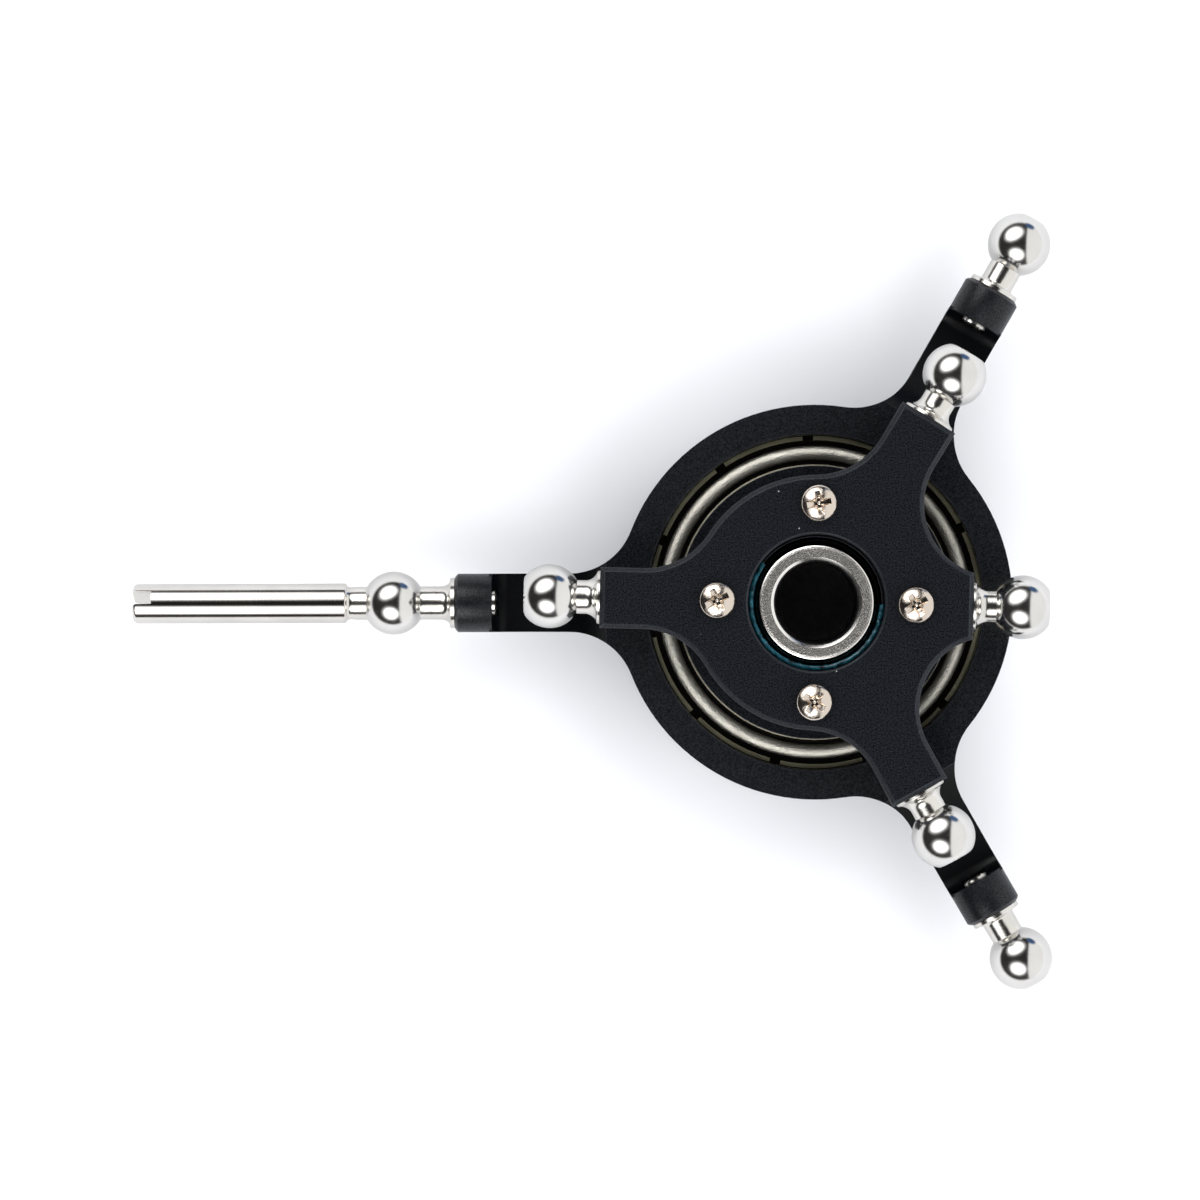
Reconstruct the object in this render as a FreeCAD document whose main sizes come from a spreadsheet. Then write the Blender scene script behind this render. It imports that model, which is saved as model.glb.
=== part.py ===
"""Swashplate for the 6 mm rotor mast of a model helicopter, as a parametric FreeCAD document.

Frame: the origin is the centre of the mast ball, +Z points up along the mast, and the
anti-rotation pin points along -X. Every size in the sheet is in millimetres or degrees.

The fixed half is an outer ring with three arms, two of them with a servo ball and one with
the anti-rotation pin. The rotating half is a star with three long arms and a short lug. It is
clamped to the inner race of a thin-section ball bearing by four screws and a lower hub, and it
holds the mast ball in two plastic seats.
"""
import FreeCAD
import Part
import Sketcher
import math
import os
import re

SIZES = {
    # mast ball and its two seats
    "mast_bore": 6.0,
    "mast_ball_diameter": 11.0,
    "mast_ball_land": 0.71,
    "mast_ball_edge": 0.45,
    "seat_wall": 0.5,
    "seat_land": 0.24,
    "seat_height": 2.8,
    "seat_split": 0.2,
    # rotating star
    "star_rise": 3.9,
    "plate_thickness": 4.4,
    "hub_rim": 0.725,
    "star_arm_width": 4.5,
    "star_arm_reach": 16.0,
    "lug_extra": 2.15,
    "star_fillet": 5.6,
    "star_scallop": 5.3,
    "star_edge": 0.35,
    "mouth_inset": 0.2,
    "mouth_edge": 0.12,
    "shoulder_inset": 0.5,
    "shoulder_height": 1.4,
    "rotor_phase": 1.5,
    # bearing, 20 x 27 x 4
    "bearing_bore": 20.0,
    "bearing_outside": 27.0,
    "bearing_width": 4.0,
    "bearing_ball": 1.9,
    "bearing_ball_count": 14,
    "race_shoulder": 0.25,
    "shield_thickness": 0.2,
    "shield_depth": 0.55,
    "shield_seat": 0.3,
    "shield_rim": 0.35,
    "shield_gap": 0.15,
    "shield_bulge": 0.22,
    "cage_wall": 0.5,
    "cage_web": 0.3,
    # fixed ring
    "ring_wall": 1.24,
    "ring_lip": 0.7,
    "ring_lip_bore": 25.2,
    "ring_tail": 0.4,
    "ring_edge": 0.25,
    "ring_arm_width": 4.4,
    "ring_arm_fillet": 4.95,
    "ring_arm_web": 1.85,
    "scoop_start": 15.6,
    "scoop_corner": 1.2,
    "boss_diameter": 4.4,
    "boss_start": 24.2,
    "boss_end": 26.95,
    "boss_edge": 0.2,
    # retaining ring under the bearing
    "clip_thickness": 0.6,
    "clip_depth": 0.6,
    "clip_width": 1.0,
    "clip_lug": 0.85,
    "clip_lug_angle": 5.5,
    "clip_hole": 0.8,
    # lower clamp hub
    "hub_flange_inset": 0.2,
    "hub_flange_thickness": 2.5,
    "hub_mouth": 11.4,
    "hub_edge": 0.5,
    "clamp_gap": 0.1,
    # clamp screws
    "screw_wall": 0.39,
    "screw_diameter": 1.6,
    "screw_length": 11.6,
    "screw_head_diameter": 2.75,
    "screw_head_height": 0.95,
    "screw_dome": 0.5,
    "screw_slot_width": 0.42,
    "screw_slot_span": 1.7,
    "screw_slot_depth": 0.5,
    # ball studs
    "link_ball": 4.75,
    "ball_tip": 2.7,
    "stud_thread": 2.0,
    "stud_neck": 2.5,
    "star_stud_reach": 3.75,
    "star_stud_rim": 3.95,
    "star_stud_rim_width": 0.2,
    "star_stud_flare": 0.95,
    "star_stud_depth": 4.2,
    "lug_stud_depth": 2.6,
    "servo_stud_reach": 4.0,
    "servo_stud_collar": 3.8,
    "servo_stud_collar_width": 0.6,
    "servo_stud_flare": 0.6,
    "stud_end": 0.3,
    # anti-rotation pin
    "pin_ball_reach": 4.65,
    "pin_diameter": 3.0,
    "pin_start": 35.1,
    "pin_end": 51.2,
    "pin_edge": 0.25,
    "pin_slot_width": 1.2,
    "pin_slot_depth": 1.5,
    # clearances
    "running_gap": 0.03,
    "fit_gap": 0.01,
    "screw_gap": 0.1,
    "cage_gap": 0.05,
}

FORMULAS = {
    # levels along the mast
    "plate_bottom": "(star_rise - plate_thickness)",
    "stud_level": "(star_rise - plate_thickness / 2)",
    "race_top": "(plate_bottom - shoulder_height)",
    "race_bottom": "(race_top - bearing_width)",
    "race_middle": "(race_top - bearing_width / 2)",
    "ring_top": "(race_top + ring_lip)",
    "ring_bottom": "(race_bottom - clip_thickness - ring_tail)",
    "arm_level": "((ring_top + ring_bottom) / 2)",
    "arm_bottom": "(arm_level - boss_diameter / 2)",
    "web_top": "(arm_bottom + ring_arm_web)",
    "seat_top": "(seat_split / 2 + seat_height)",
    "hub_bottom": "(race_bottom - hub_flange_thickness)",
    # radii
    "pitch_radius": "((bearing_bore + bearing_outside) / 4)",
    "inner_shoulder": "(pitch_radius - bearing_ball / 2 + race_shoulder)",
    "outer_shoulder": "(pitch_radius + bearing_ball / 2 - race_shoulder)",
    "shield_outer": "(outer_shoulder + shield_seat)",
    "shield_inner": "(inner_step + shield_gap)",
    "inner_step": "(inner_shoulder - race_shoulder)",
    "shoulder_radius": "(inner_step - shoulder_inset)",
    "flange_radius": "(inner_step - hub_flange_inset)",
    "ball_face": "(mast_bore / 2 + mast_ball_edge + mast_ball_land)",
    "ball_half": "sqrt((mast_ball_diameter / 2) ^ 2 - ball_face ^ 2)",
    "seat_ball": "(mast_ball_diameter / 2 + running_gap)",
    "mouth_radius": "sqrt(seat_ball ^ 2 - (seat_top - seat_land) ^ 2)",
    "lip_radius": "(mouth_radius + mouth_inset)",
    "seat_outer": "(seat_ball + seat_wall)",
    "seat_pocket": "(seat_outer + running_gap)",
    "screw_radius": "(seat_pocket + screw_wall + screw_diameter / 2 + screw_gap)",
    "hub_radius": "(screw_radius + screw_head_diameter / 2 + hub_rim)",
    "lug_reach": "(hub_radius + lug_extra)",
    # plan of the star
    "star_half": "(star_arm_width / 2)",
    "scallop_way": "((star_half + star_scallop) / sin(30))",
    "scallop_x": "(scallop_way * cos(30))",
    "scallop_y": "(scallop_way * sin(30))",
    "lug_half": "(scallop_y - sqrt(star_scallop ^ 2 - (scallop_x - lug_reach) ^ 2))",
    "star_way": "(hub_radius + star_fillet)",
    "star_turn": "(asin((star_half + star_fillet) / star_way) / 1 deg)",
    "star_tangent": "(star_way * cos(star_turn))",
    # plan and section of the ring and its arms
    "bearing_seat": "(bearing_outside / 2 + fit_gap)",
    "ring_radius": "(bearing_seat + ring_wall)",
    "ring_half": "(ring_arm_width / 2)",
    "ring_way": "(ring_radius + ring_arm_fillet)",
    "ring_turn": "(asin((ring_half + ring_arm_fillet) / ring_way) / 1 deg)",
    "scoop_drop": "(ring_top - web_top)",
    "scoop_run": "(boss_start - scoop_corner - scoop_start)",
    "scoop_radius": "((scoop_run ^ 2 + scoop_drop ^ 2) / (2 * scoop_drop))",
    # studs
    "tip_way": "sqrt((link_ball / 2) ^ 2 - (ball_tip / 2) ^ 2)",
    "neck_way": "sqrt((link_ball / 2) ^ 2 - (stud_neck / 2) ^ 2)",
    "boss_length": "(boss_end - boss_start)",
}

document = FreeCAD.newDocument("Swashplate")
sheet = document.addObject("Spreadsheet::Sheet", "Size")
for row, (size_name, size_value) in enumerate(SIZES.items(), start=1):
    sheet.set(f"A{row}", size_name)
    sheet.set(f"B{row}", str(size_value))
    sheet.setAlias(f"B{row}", size_name)
document.recompute()


def formula(text):
    """Return an expression in which every named size and formula points into the sheet."""
    text = str(text)
    while True:
        wider = re.sub(r"[a-z_]+", lambda word: FORMULAS.get(word.group(), word.group()), text)
        if wider == text:
            break
        text = wider
    return re.sub(r"[a-z_]+", lambda word: ("Size." if word.group() in SIZES else "") + word.group(), text)


def value(text):
    """Return the number that a formula gives."""
    number = sheet.evalExpression(formula(text))
    return float(getattr(number, "Value", number))


def bind(item, **formulas):
    """Bind properties to formulas; a double underscore in a name stands for a dot."""
    for name, text in formulas.items():
        item.setExpression(name.replace("__", "."), formula(text))


def new_body(label):
    """Start a body whose label names its file."""
    body = document.addObject("PartDesign::Body", label)
    body.Label = label
    return body


def new_sketch(body, name, plane, lift="0", rise="0"):
    """Add a sketch on one of the body's own planes, lifted off it and raised along its Y."""
    sketch = body.newObject("Sketcher::SketchObject", name)
    support = [item for item in body.Origin.OriginFeatures if item.Role == plane][0]
    sketch.AttachmentSupport = [(support, "")]
    sketch.MapMode = "FlatFace"
    bind(sketch, AttachmentOffset__Base__z=lift, AttachmentOffset__Base__y=rise)
    return sketch


def place_point(sketch, geometry, position, x, y):
    """Hold one point of the sketch at two formulas."""
    for kind, text in (("DistanceX", x), ("DistanceY", y)):
        constraint = Sketcher.Constraint(kind, -1, 1, geometry, position, value(text))
        index = sketch.addConstraint(constraint)
        sketch.setExpression(f"Constraints[{index}]", formula(text))


def arc_centre(start, end, radius, ccw, large):
    """Return the centre of the arc from start to end that turns as asked."""
    middle = (start + end) / 2
    chord = end - start
    height = math.sqrt(max(radius**2 - (chord.Length / 2) ** 2, 0.0))
    side = FreeCAD.Vector(-chord.y, chord.x, 0).normalize()
    return middle + side * (height if ccw != large else -height)


def draw_outline(sketch, steps):
    """Draw a closed outline and constrain it.

    Each step is a point (x, y), reached by a straight line, or a point with a radius and a
    turn (x, y, radius, turn), reached by an arc. The turn is "left" or "right", with "far"
    after it where the arc is more than half a circle.
    """
    points = [FreeCAD.Vector(value(step[0]), value(step[1]), 0) for step in steps]
    ends = []
    for index, step in enumerate(steps):
        start = points[index - 1]
        end = points[index]
        if len(step) == 2:
            geometry = sketch.addGeometry(Part.LineSegment(start, end), False)
            ends.append((geometry, 1, 2))
            continue
        radius = value(step[2])
        ccw = step[3].startswith("left")
        centre = arc_centre(start, end, radius, ccw, step[3].endswith("far"))
        first, last = (start, end) if ccw else (end, start)
        angles = [math.atan2(point.y - centre.y, point.x - centre.x) for point in (first, last)]
        circle = Part.Circle(centre, FreeCAD.Vector(0, 0, 1), radius)
        geometry = sketch.addGeometry(Part.ArcOfCircle(circle, angles[0], angles[1]), False)
        ends.append((geometry, 1, 2) if ccw else (geometry, 2, 1))
    for index, (geometry, start, end) in enumerate(ends):
        before, _, before_end = ends[index - 1]
        sketch.addConstraint(Sketcher.Constraint("Coincident", before, before_end, geometry, start))
    for (geometry, start, end), step in zip(ends, steps):
        place_point(sketch, geometry, end, step[0], step[1])
        if len(step) > 2:
            index = sketch.addConstraint(Sketcher.Constraint("Radius", geometry, value(step[2])))
            sketch.setExpression(f"Constraints[{index}]", formula(step[2]))
    return sketch


def draw_circle(sketch, x, y, radius):
    """Draw one constrained circle."""
    centre = FreeCAD.Vector(value(x), value(y), 0)
    circle = Part.Circle(centre, FreeCAD.Vector(0, 0, 1), value(radius))
    geometry = sketch.addGeometry(circle, False)
    place_point(sketch, geometry, 3, x, y)
    index = sketch.addConstraint(Sketcher.Constraint("Radius", geometry, value(radius)))
    sketch.setExpression(f"Constraints[{index}]", formula(radius))
    return sketch


def feature(body, kind, name, sketch, **formulas):
    """Add a PartDesign feature to a body and hide its sketch."""
    item = body.newObject(f"PartDesign::{kind}", name)
    item.Profile = sketch
    bind(item, **formulas)
    sketch.Visibility = False
    return item


def revolve(body, name, steps, kind="Revolution", axis="V_Axis", rise="0"):
    """Turn an outline in the XZ plane about the mast, or about the sketch's own X axis."""
    sketch = new_sketch(body, name + "_sketch", "XZ_Plane", rise=rise)
    draw_outline(sketch, steps)
    item = feature(body, kind, name, sketch)
    item.ReferenceAxis = (sketch, [axis])
    item.Angle = 360
    document.recompute()
    return item


def cut_checked(body, item):
    """Recompute after a cutting feature and make sure that it took material away."""
    before = item.BaseFeature.Shape.Volume
    document.recompute()
    if item.Shape.Volume > before - 1e-4:
        raise ValueError(f"{item.Name} cuts nothing")
    return item


def polar(body, name, originals, count, angle="360"):
    """Repeat features round the mast."""
    pattern = body.newObject("PartDesign::PolarPattern", name)
    pattern.Originals = originals
    axis = [item for item in body.Origin.OriginFeatures if item.Role == "Z_Axis"][0]
    pattern.Axis = (axis, [""])
    bind(pattern, Angle=angle, Occurrences=count)
    body.Tip = pattern
    document.recompute()
    return pattern


def screw_holes(body, radius):
    """Drill the four holes of the screw circle right through a body."""
    sketch = new_sketch(body, "screw_sketch", "XY_Plane")
    draw_circle(sketch, "screw_radius", "0", radius)
    hole = feature(body, "Pocket", "screw_hole", sketch)
    hole.Type = "ThroughAll"
    hole.Midplane = True
    cut_checked(body, hole)
    return polar(body, "screw_holes", [hole], "4")


def radial_hole(body, name, side, inner, outer, radius, level):
    """Bore a hole along X from one distance to another; side is 1 for +X and -1 for -X."""
    steps = [
        (f"{side} * {inner}", "0"),
        (f"{side} * {outer}", "0"),
        (f"{side} * {outer}", radius),
        (f"{side} * {inner}", radius),
    ]
    hole = revolve(body, name, steps, kind="Groove", axis="H_Axis", rise=level)
    return cut_checked(body, hole)


def turn_with_rotor(item, extra="0", x="0", z="0"):
    """Place an item of the rotating half: the rotor's phase, an extra turn and a shift."""
    item.Placement = FreeCAD.Placement(
        FreeCAD.Vector(), FreeCAD.Rotation(FreeCAD.Vector(0, 0, 1), 1)
    )
    angle = f"{extra} - rotor_phase"
    bind(item, Placement__Rotation__Angle=angle)
    bind(item, Placement__Base__x=f"{x} * cos({angle})", Placement__Base__y=f"{x} * sin({angle})")
    bind(item, Placement__Base__z=z)


def arm_points(direction, reach, half):
    """Return the two end corners of a star arm, right-hand side first."""
    along = (f"cos({direction})", f"sin({direction})")
    right = (f"sin({direction})", f"-cos({direction})")
    return [
        (f"{reach} * {along[0]} + {sign} * {half} * {right[0]}",
         f"{reach} * {along[1]} + {sign} * {half} * {right[1]}")
        for sign in ("1", "(-1)")
    ]


def build_star():
    """Star: hub, three long arms, a short lug, bearing shoulder, spigot and ball pocket."""
    body = new_body("rotor_star")
    sketch = new_sketch(body, "plate_sketch", "XY_Plane", lift="plate_bottom")
    lug = [("lug_reach", "-lug_half"), ("lug_reach", "lug_half")]
    steps = [lug[1]]
    steps.append(arm_points("60", "scallop_x", "star_half")[0] + ("star_scallop", "right"))
    steps.extend(arm_points("60", "star_arm_reach", "star_half"))
    steps.append(arm_points("60", "star_tangent", "star_half")[1])
    for direction in ("180", "300"):
        before = f"({direction} - 120 + star_turn)"
        after = f"({direction} - star_turn)"
        start = (f"hub_radius * cos({before})", f"hub_radius * sin({before})")
        end = (f"hub_radius * cos({after})", f"hub_radius * sin({after})")
        steps.append(start + ("star_fillet", "right"))
        steps.append(end + ("hub_radius", "left"))
        near, far = arm_points(direction, "star_tangent", "star_half")
        steps.append(near + ("star_fillet", "right"))
        steps.extend(arm_points(direction, "star_arm_reach", "star_half"))
        if direction == "180":
            steps.append(far)
    steps.append(arm_points("300", "scallop_x", "star_half")[1])
    steps.append(lug[0] + ("star_scallop", "right"))
    draw_outline(sketch, steps)
    plate = feature(body, "Pad", "plate", sketch, Length="plate_thickness")
    document.recompute()
    top = value("star_rise")
    rim = [
        f"Edge{number}"
        for number, edge in enumerate(plate.Shape.Edges, start=1)
        if all(abs(vertex.Point.z - top) < 1e-6 for vertex in edge.Vertexes)
    ]
    chamfer = body.newObject("PartDesign::Chamfer", "plate_edge")
    chamfer.Base = (plate, rim)
    bind(chamfer, Size="star_edge")
    document.recompute()
    revolve(body, "spigot", [
        ("0", "race_bottom + clamp_gap"),
        ("bearing_bore / 2 - fit_gap", "race_bottom + clamp_gap"),
        ("bearing_bore / 2 - fit_gap", "race_top"),
        ("shoulder_radius", "race_top"),
        ("shoulder_radius", "plate_bottom"),
        ("0", "plate_bottom"),
    ])
    bore = revolve(body, "ball_pocket", [
        ("0", "hub_bottom"),
        ("seat_pocket", "hub_bottom"),
        ("seat_pocket", "seat_top"),
        ("lip_radius", "seat_top"),
        ("lip_radius", "star_rise - mouth_edge"),
        ("lip_radius + mouth_edge", "star_rise"),
        ("lip_radius + mouth_edge", "star_rise + 1"),
        ("0", "star_rise + 1"),
    ], kind="Groove")
    cut_checked(body, bore)
    screw_holes(body, "screw_diameter / 2 + screw_gap")
    thread = "stud_thread / 2 + fit_gap"
    hole = radial_hole(
        body, "arm_hole", "(-1)", "(star_arm_reach - star_stud_depth - stud_end)",
        "(star_arm_reach + 1)", thread, "stud_level",
    )
    polar(body, "arm_holes", [hole], "3")
    radial_hole(
        body, "lug_hole", "1", "(lug_reach - lug_stud_depth - clamp_gap)",
        "(lug_reach + 1)", thread, "stud_level",
    )
    turn_with_rotor(body)
    return body


def build_lower_hub():
    """Lower hub: nose that holds the lower seat and flange that clamps the inner race."""
    body = new_body("lower_clamp_hub")
    revolve(body, "hub", [
        ("lip_radius", "-seat_top"),
        ("hub_mouth / 2", "hub_bottom"),
        ("flange_radius - hub_edge", "hub_bottom"),
        ("flange_radius", "hub_bottom + hub_edge"),
        ("flange_radius", "race_bottom"),
        ("seat_pocket - fit_gap", "race_bottom"),
        ("seat_pocket - fit_gap", "-seat_top"),
    ])
    screw_holes(body, "screw_diameter / 2 + fit_gap")
    turn_with_rotor(body)
    return body


def build_inner_race():
    """Inner race with its ball groove and the steps that the shields run over."""
    body = new_body("bearing_inner_race")
    step = "shield_depth + shield_gap"
    revolve(body, "race", [
        ("bearing_bore / 2", "race_bottom"),
        ("inner_step", "race_bottom"),
        ("inner_step", f"race_bottom + {step}"),
        ("inner_shoulder", f"race_bottom + {step}"),
        ("inner_shoulder", f"race_top - ({step})"),
        ("inner_step", f"race_top - ({step})"),
        ("inner_step", "race_top"),
        ("bearing_bore / 2", "race_top"),
    ])
    return cut_ball_groove(body)


def build_outer_race():
    """Outer race with its ball groove and the seats of the two shields."""
    body = new_body("bearing_outer_race")
    revolve(body, "race", [
        ("outer_shoulder", "race_bottom + shield_depth"),
        ("shield_outer", "race_bottom + shield_depth"),
        ("shield_outer", "race_bottom"),
        ("bearing_outside / 2", "race_bottom"),
        ("bearing_outside / 2", "race_top"),
        ("shield_outer", "race_top"),
        ("shield_outer", "race_top - shield_depth"),
        ("outer_shoulder", "race_top - shield_depth"),
    ])
    return cut_ball_groove(body)


def cut_ball_groove(body):
    """Cut the round groove that the bearing balls run in."""
    sketch = new_sketch(body, "groove_sketch", "XZ_Plane")
    draw_circle(sketch, "pitch_radius", "race_middle", "bearing_ball / 2 + running_gap")
    groove = feature(body, "Groove", "ball_groove", sketch)
    groove.ReferenceAxis = (sketch, ["V_Axis"])
    groove.Angle = 360
    cut_checked(body, groove)
    return body


def build_shield(label, side):
    """Pressed shield: rolled rim in the outer race, a groove and a bulged band."""
    body = new_body(label)
    level = {"1": "race_top", "(-1)": "race_bottom"}[side]
    turn = {"1": ("left", "right"), "(-1)": ("right", "left")}[side]
    floor = f"{level} - {side} * shield_depth"
    rim = "shield_outer - shield_rim"
    band = f"({floor} + {side} * shield_thickness)"
    radius = f"(((({rim}) - shield_inner) / 2) ^ 2 + shield_bulge ^ 2) / (2 * shield_bulge)"
    revolve(body, "shield", [
        ("shield_inner", floor),
        ("shield_outer - fit_gap", floor),
        ("shield_outer - fit_gap", f"{level} - {side} * fit_gap"),
        (rim, f"{level} - {side} * fit_gap"),
        (rim, band),
        ("shield_inner", band, radius, turn[0]),
    ])
    return body


def build_cage():
    """Cage: one ring with a round pocket for each bearing ball."""
    body = new_body("bearing_cage")
    half = "(bearing_ball / 2 + cage_gap + cage_web)"
    revolve(body, "band", [
        ("pitch_radius - cage_wall / 2", f"race_middle - {half}"),
        ("pitch_radius + cage_wall / 2", f"race_middle - {half}"),
        ("pitch_radius + cage_wall / 2", f"race_middle + {half}"),
        ("pitch_radius - cage_wall / 2", f"race_middle + {half}"),
    ])
    hole = radial_hole(
        body, "pocket", "1", "(pitch_radius - cage_wall)", "(pitch_radius + cage_wall)",
        "bearing_ball / 2 + cage_gap", "race_middle",
    )
    polar(body, "pockets", [hole], "bearing_ball_count")
    return body


def build_balls():
    """Bearing balls, evenly spaced on the pitch circle."""
    balls = []
    count = round(value("bearing_ball_count"))
    for index in range(count):
        ball = document.addObject("Part::Sphere", f"bearing_ball_{index + 1}")
        angle = f"({index} * 360 / bearing_ball_count)"
        bind(ball, Radius="bearing_ball / 2")
        bind(ball, Placement__Base__x=f"pitch_radius * cos({angle})")
        bind(ball, Placement__Base__y=f"pitch_radius * sin({angle})")
        bind(ball, Placement__Base__z="race_middle")
        balls.append(ball)
    group = document.addObject("Part::Compound", "bearing_balls")
    group.Links = balls
    document.recompute()
    return group


def build_ring():
    """Fixed ring: three scooped arms with bosses, the bearing's lip, pocket and clip groove."""
    body = new_body("outer_ring")
    revolve(body, "blank", [
        ("0", "ring_bottom"),
        ("ring_radius - ring_edge", "ring_bottom"),
        ("ring_radius", "ring_bottom + ring_edge"),
        ("ring_radius", "ring_top - ring_edge"),
        ("ring_radius - ring_edge", "ring_top"),
        ("0", "ring_top"),
    ])
    sketch = new_sketch(body, "arm_sketch", "XY_Plane", lift="arm_bottom")
    foot = ("-ring_radius * cos(ring_turn)", "ring_radius * sin(ring_turn)")
    tangent = "-ring_way * cos(ring_turn)"
    end = "-(boss_start + boss_edge)"
    draw_outline(sketch, [
        foot,
        (tangent, "ring_half", "ring_arm_fillet", "right"),
        (end, "ring_half"),
        (end, "-ring_half"),
        (tangent, "-ring_half"),
        (foot[0], f"-{foot[1]}", "ring_arm_fillet", "right"),
    ])
    arm = feature(body, "Pad", "arm", sketch, Length="ring_top - arm_bottom")
    document.recompute()
    scoop_sketch = new_sketch(body, "scoop_sketch", "XZ_Plane")
    draw_outline(scoop_sketch, [
        ("-boss_start", "web_top + scoop_corner"),
        ("-(boss_start - scoop_corner)", "web_top", "scoop_corner", "left"),
        ("-scoop_start", "ring_top", "scoop_radius", "left"),
        ("-scoop_start", "ring_top + 1"),
        ("-boss_end", "ring_top + 1"),
        ("-boss_end", "web_top + scoop_corner"),
    ])
    scoop = feature(body, "Pocket", "scoop", scoop_sketch, Length="3 * ring_arm_width")
    scoop.Midplane = True
    cut_checked(body, scoop)
    boss = revolve(body, "boss", [
        ("-boss_start", "0"),
        ("-boss_start", "boss_diameter / 2 - boss_edge"),
        ("-(boss_start + boss_edge)", "boss_diameter / 2"),
        ("-(boss_end - boss_edge)", "boss_diameter / 2"),
        ("-boss_end", "boss_diameter / 2 - boss_edge"),
        ("-boss_end", "0"),
    ], axis="H_Axis", rise="arm_level")
    hole = radial_hole(
        body, "stud_hole", "(-1)", "(boss_start - stud_end - clamp_gap)", "(boss_end + 1)",
        "stud_thread / 2 + fit_gap", "arm_level",
    )
    polar(body, "arms", [arm, scoop, boss, hole], "3")
    inside = revolve(body, "bearing_pocket", [
        ("0", "ring_bottom - 1"),
        ("bearing_seat + ring_edge", "ring_bottom - 1"),
        ("bearing_seat + ring_edge", "ring_bottom"),
        ("bearing_seat", "ring_bottom + ring_edge"),
        ("bearing_seat", "ring_bottom + ring_tail"),
        ("bearing_seat + clip_depth", "ring_bottom + ring_tail"),
        ("bearing_seat + clip_depth", "race_bottom"),
        ("bearing_seat", "race_bottom"),
        ("bearing_seat", "race_top"),
        ("ring_lip_bore / 2", "race_top"),
        ("ring_lip_bore / 2", "ring_top - ring_edge / 2"),
        ("ring_lip_bore / 2 + ring_edge / 2", "ring_top"),
        ("ring_lip_bore / 2 + ring_edge / 2", "ring_top + 1"),
        ("0", "ring_top + 1"),
    ], kind="Groove")
    cut_checked(body, inside)
    return body


def build_clip():
    """Retaining ring: a C of spring steel with two eyes for the pliers."""
    body = new_body("bearing_retaining_ring")
    outer = "bearing_seat + clip_depth - fit_gap"
    eye_way = f"({outer} - clip_width - clip_lug / 2)"
    sketch = new_sketch(body, "clip_sketch", "XY_Plane", lift="race_bottom - clip_thickness")
    draw_circle(sketch, "0", "0", outer)
    draw_circle(sketch, "0", "0", f"{outer} - clip_width")
    feature(body, "Pad", "clip", sketch, Length="clip_thickness")
    document.recompute()
    for side in ("1", "(-1)"):
        name = "left" if side == "1" else "right"
        place = (f"{eye_way} * cos(clip_lug_angle)", f"{side} * {eye_way} * sin(clip_lug_angle)")
        eye = new_sketch(body, f"eye_sketch_{name}", "XY_Plane", lift="race_bottom - clip_thickness")
        draw_circle(eye, place[0], place[1], "clip_lug")
        feature(body, "Pad", f"eye_{name}", eye, Length="clip_thickness")
        document.recompute()
        drill = new_sketch(body, f"drill_sketch_{name}", "XY_Plane", lift="race_bottom")
        draw_circle(drill, place[0], place[1], "clip_hole / 2")
        hole = feature(body, "Pocket", f"drill_{name}", drill, Length="clip_thickness")
        cut_checked(body, hole)
    slot = new_sketch(body, "slot_sketch", "XY_Plane", lift="race_bottom")
    gap = f"({eye_way} * sin(clip_lug_angle) - clip_lug * 3 / 4)"
    draw_outline(slot, [
        (f"{eye_way} - 2 * clip_lug", f"-{gap}"),
        ("ring_radius", f"-{gap}"),
        ("ring_radius", gap),
        (f"{eye_way} - 2 * clip_lug", gap),
    ])
    cut = feature(body, "Pocket", "slot", slot, Length="clip_thickness")
    cut_checked(body, cut)
    return body


def build_seat(label, side):
    """Plastic seat of the mast ball; the upper one opens at the top of the star."""
    body = new_body(label)
    low = f"{side} * seat_split / 2"
    waist = "sqrt(seat_ball ^ 2 - (seat_split / 2) ^ 2)"
    turn = "right" if side == "1" else "left"
    revolve(body, "seat", [
        ("seat_outer", low),
        ("seat_outer", f"{side} * seat_top"),
        ("mouth_radius", f"{side} * seat_top"),
        ("mouth_radius", f"{side} * (seat_top - seat_land)"),
        (waist, low, "seat_ball", turn),
    ])
    turn_with_rotor(body)
    return body


def build_mast_ball():
    """Mast ball: a sphere with two flat faces, bored for the mast."""
    body = new_body("mast_ball")
    bore = "(mast_bore / 2)"
    revolve(body, "ball", [
        (bore, "-(ball_half - mast_ball_edge)"),
        (f"{bore} + mast_ball_edge", "-ball_half"),
        ("ball_face", "-ball_half"),
        ("ball_face", "ball_half", "mast_ball_diameter / 2", "left"),
        (f"{bore} + mast_ball_edge", "ball_half"),
        (bore, "ball_half - mast_ball_edge"),
    ])
    return body


def build_screw(index):
    """One pan-head screw with a cross recess, standing in the star's top face."""
    body = new_body(f"clamp_screw_{index + 1}")
    wall = "screw_head_height - screw_dome"
    radius = "((screw_head_diameter / 2) ^ 2 + screw_dome ^ 2) / (2 * screw_dome)"
    revolve(body, "screw", [
        ("0", "-screw_length"),
        ("screw_diameter / 2", "-screw_length"),
        ("screw_diameter / 2", "0"),
        ("screw_head_diameter / 2", "0"),
        ("screw_head_diameter / 2", wall),
        ("0", "screw_head_height", radius, "left"),
    ])
    for name, wide, high in (
        ("slot", "screw_slot_span / 2", "screw_slot_width / 2"),
        ("cross", "screw_slot_width / 2", "screw_slot_span / 2"),
    ):
        sketch = new_sketch(body, f"{name}_sketch", "XY_Plane", lift="screw_head_height")
        corners = [(f"-{wide}", f"-{high}"), (wide, f"-{high}"), (wide, high), (f"-{wide}", high)]
        draw_outline(sketch, corners)
        cut = feature(body, "Pocket", name, sketch, Length="screw_slot_depth")
        cut_checked(body, cut)
    turn_with_rotor(body, f"({index} * 90)", x="screw_radius", z="star_rise")
    return body


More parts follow.
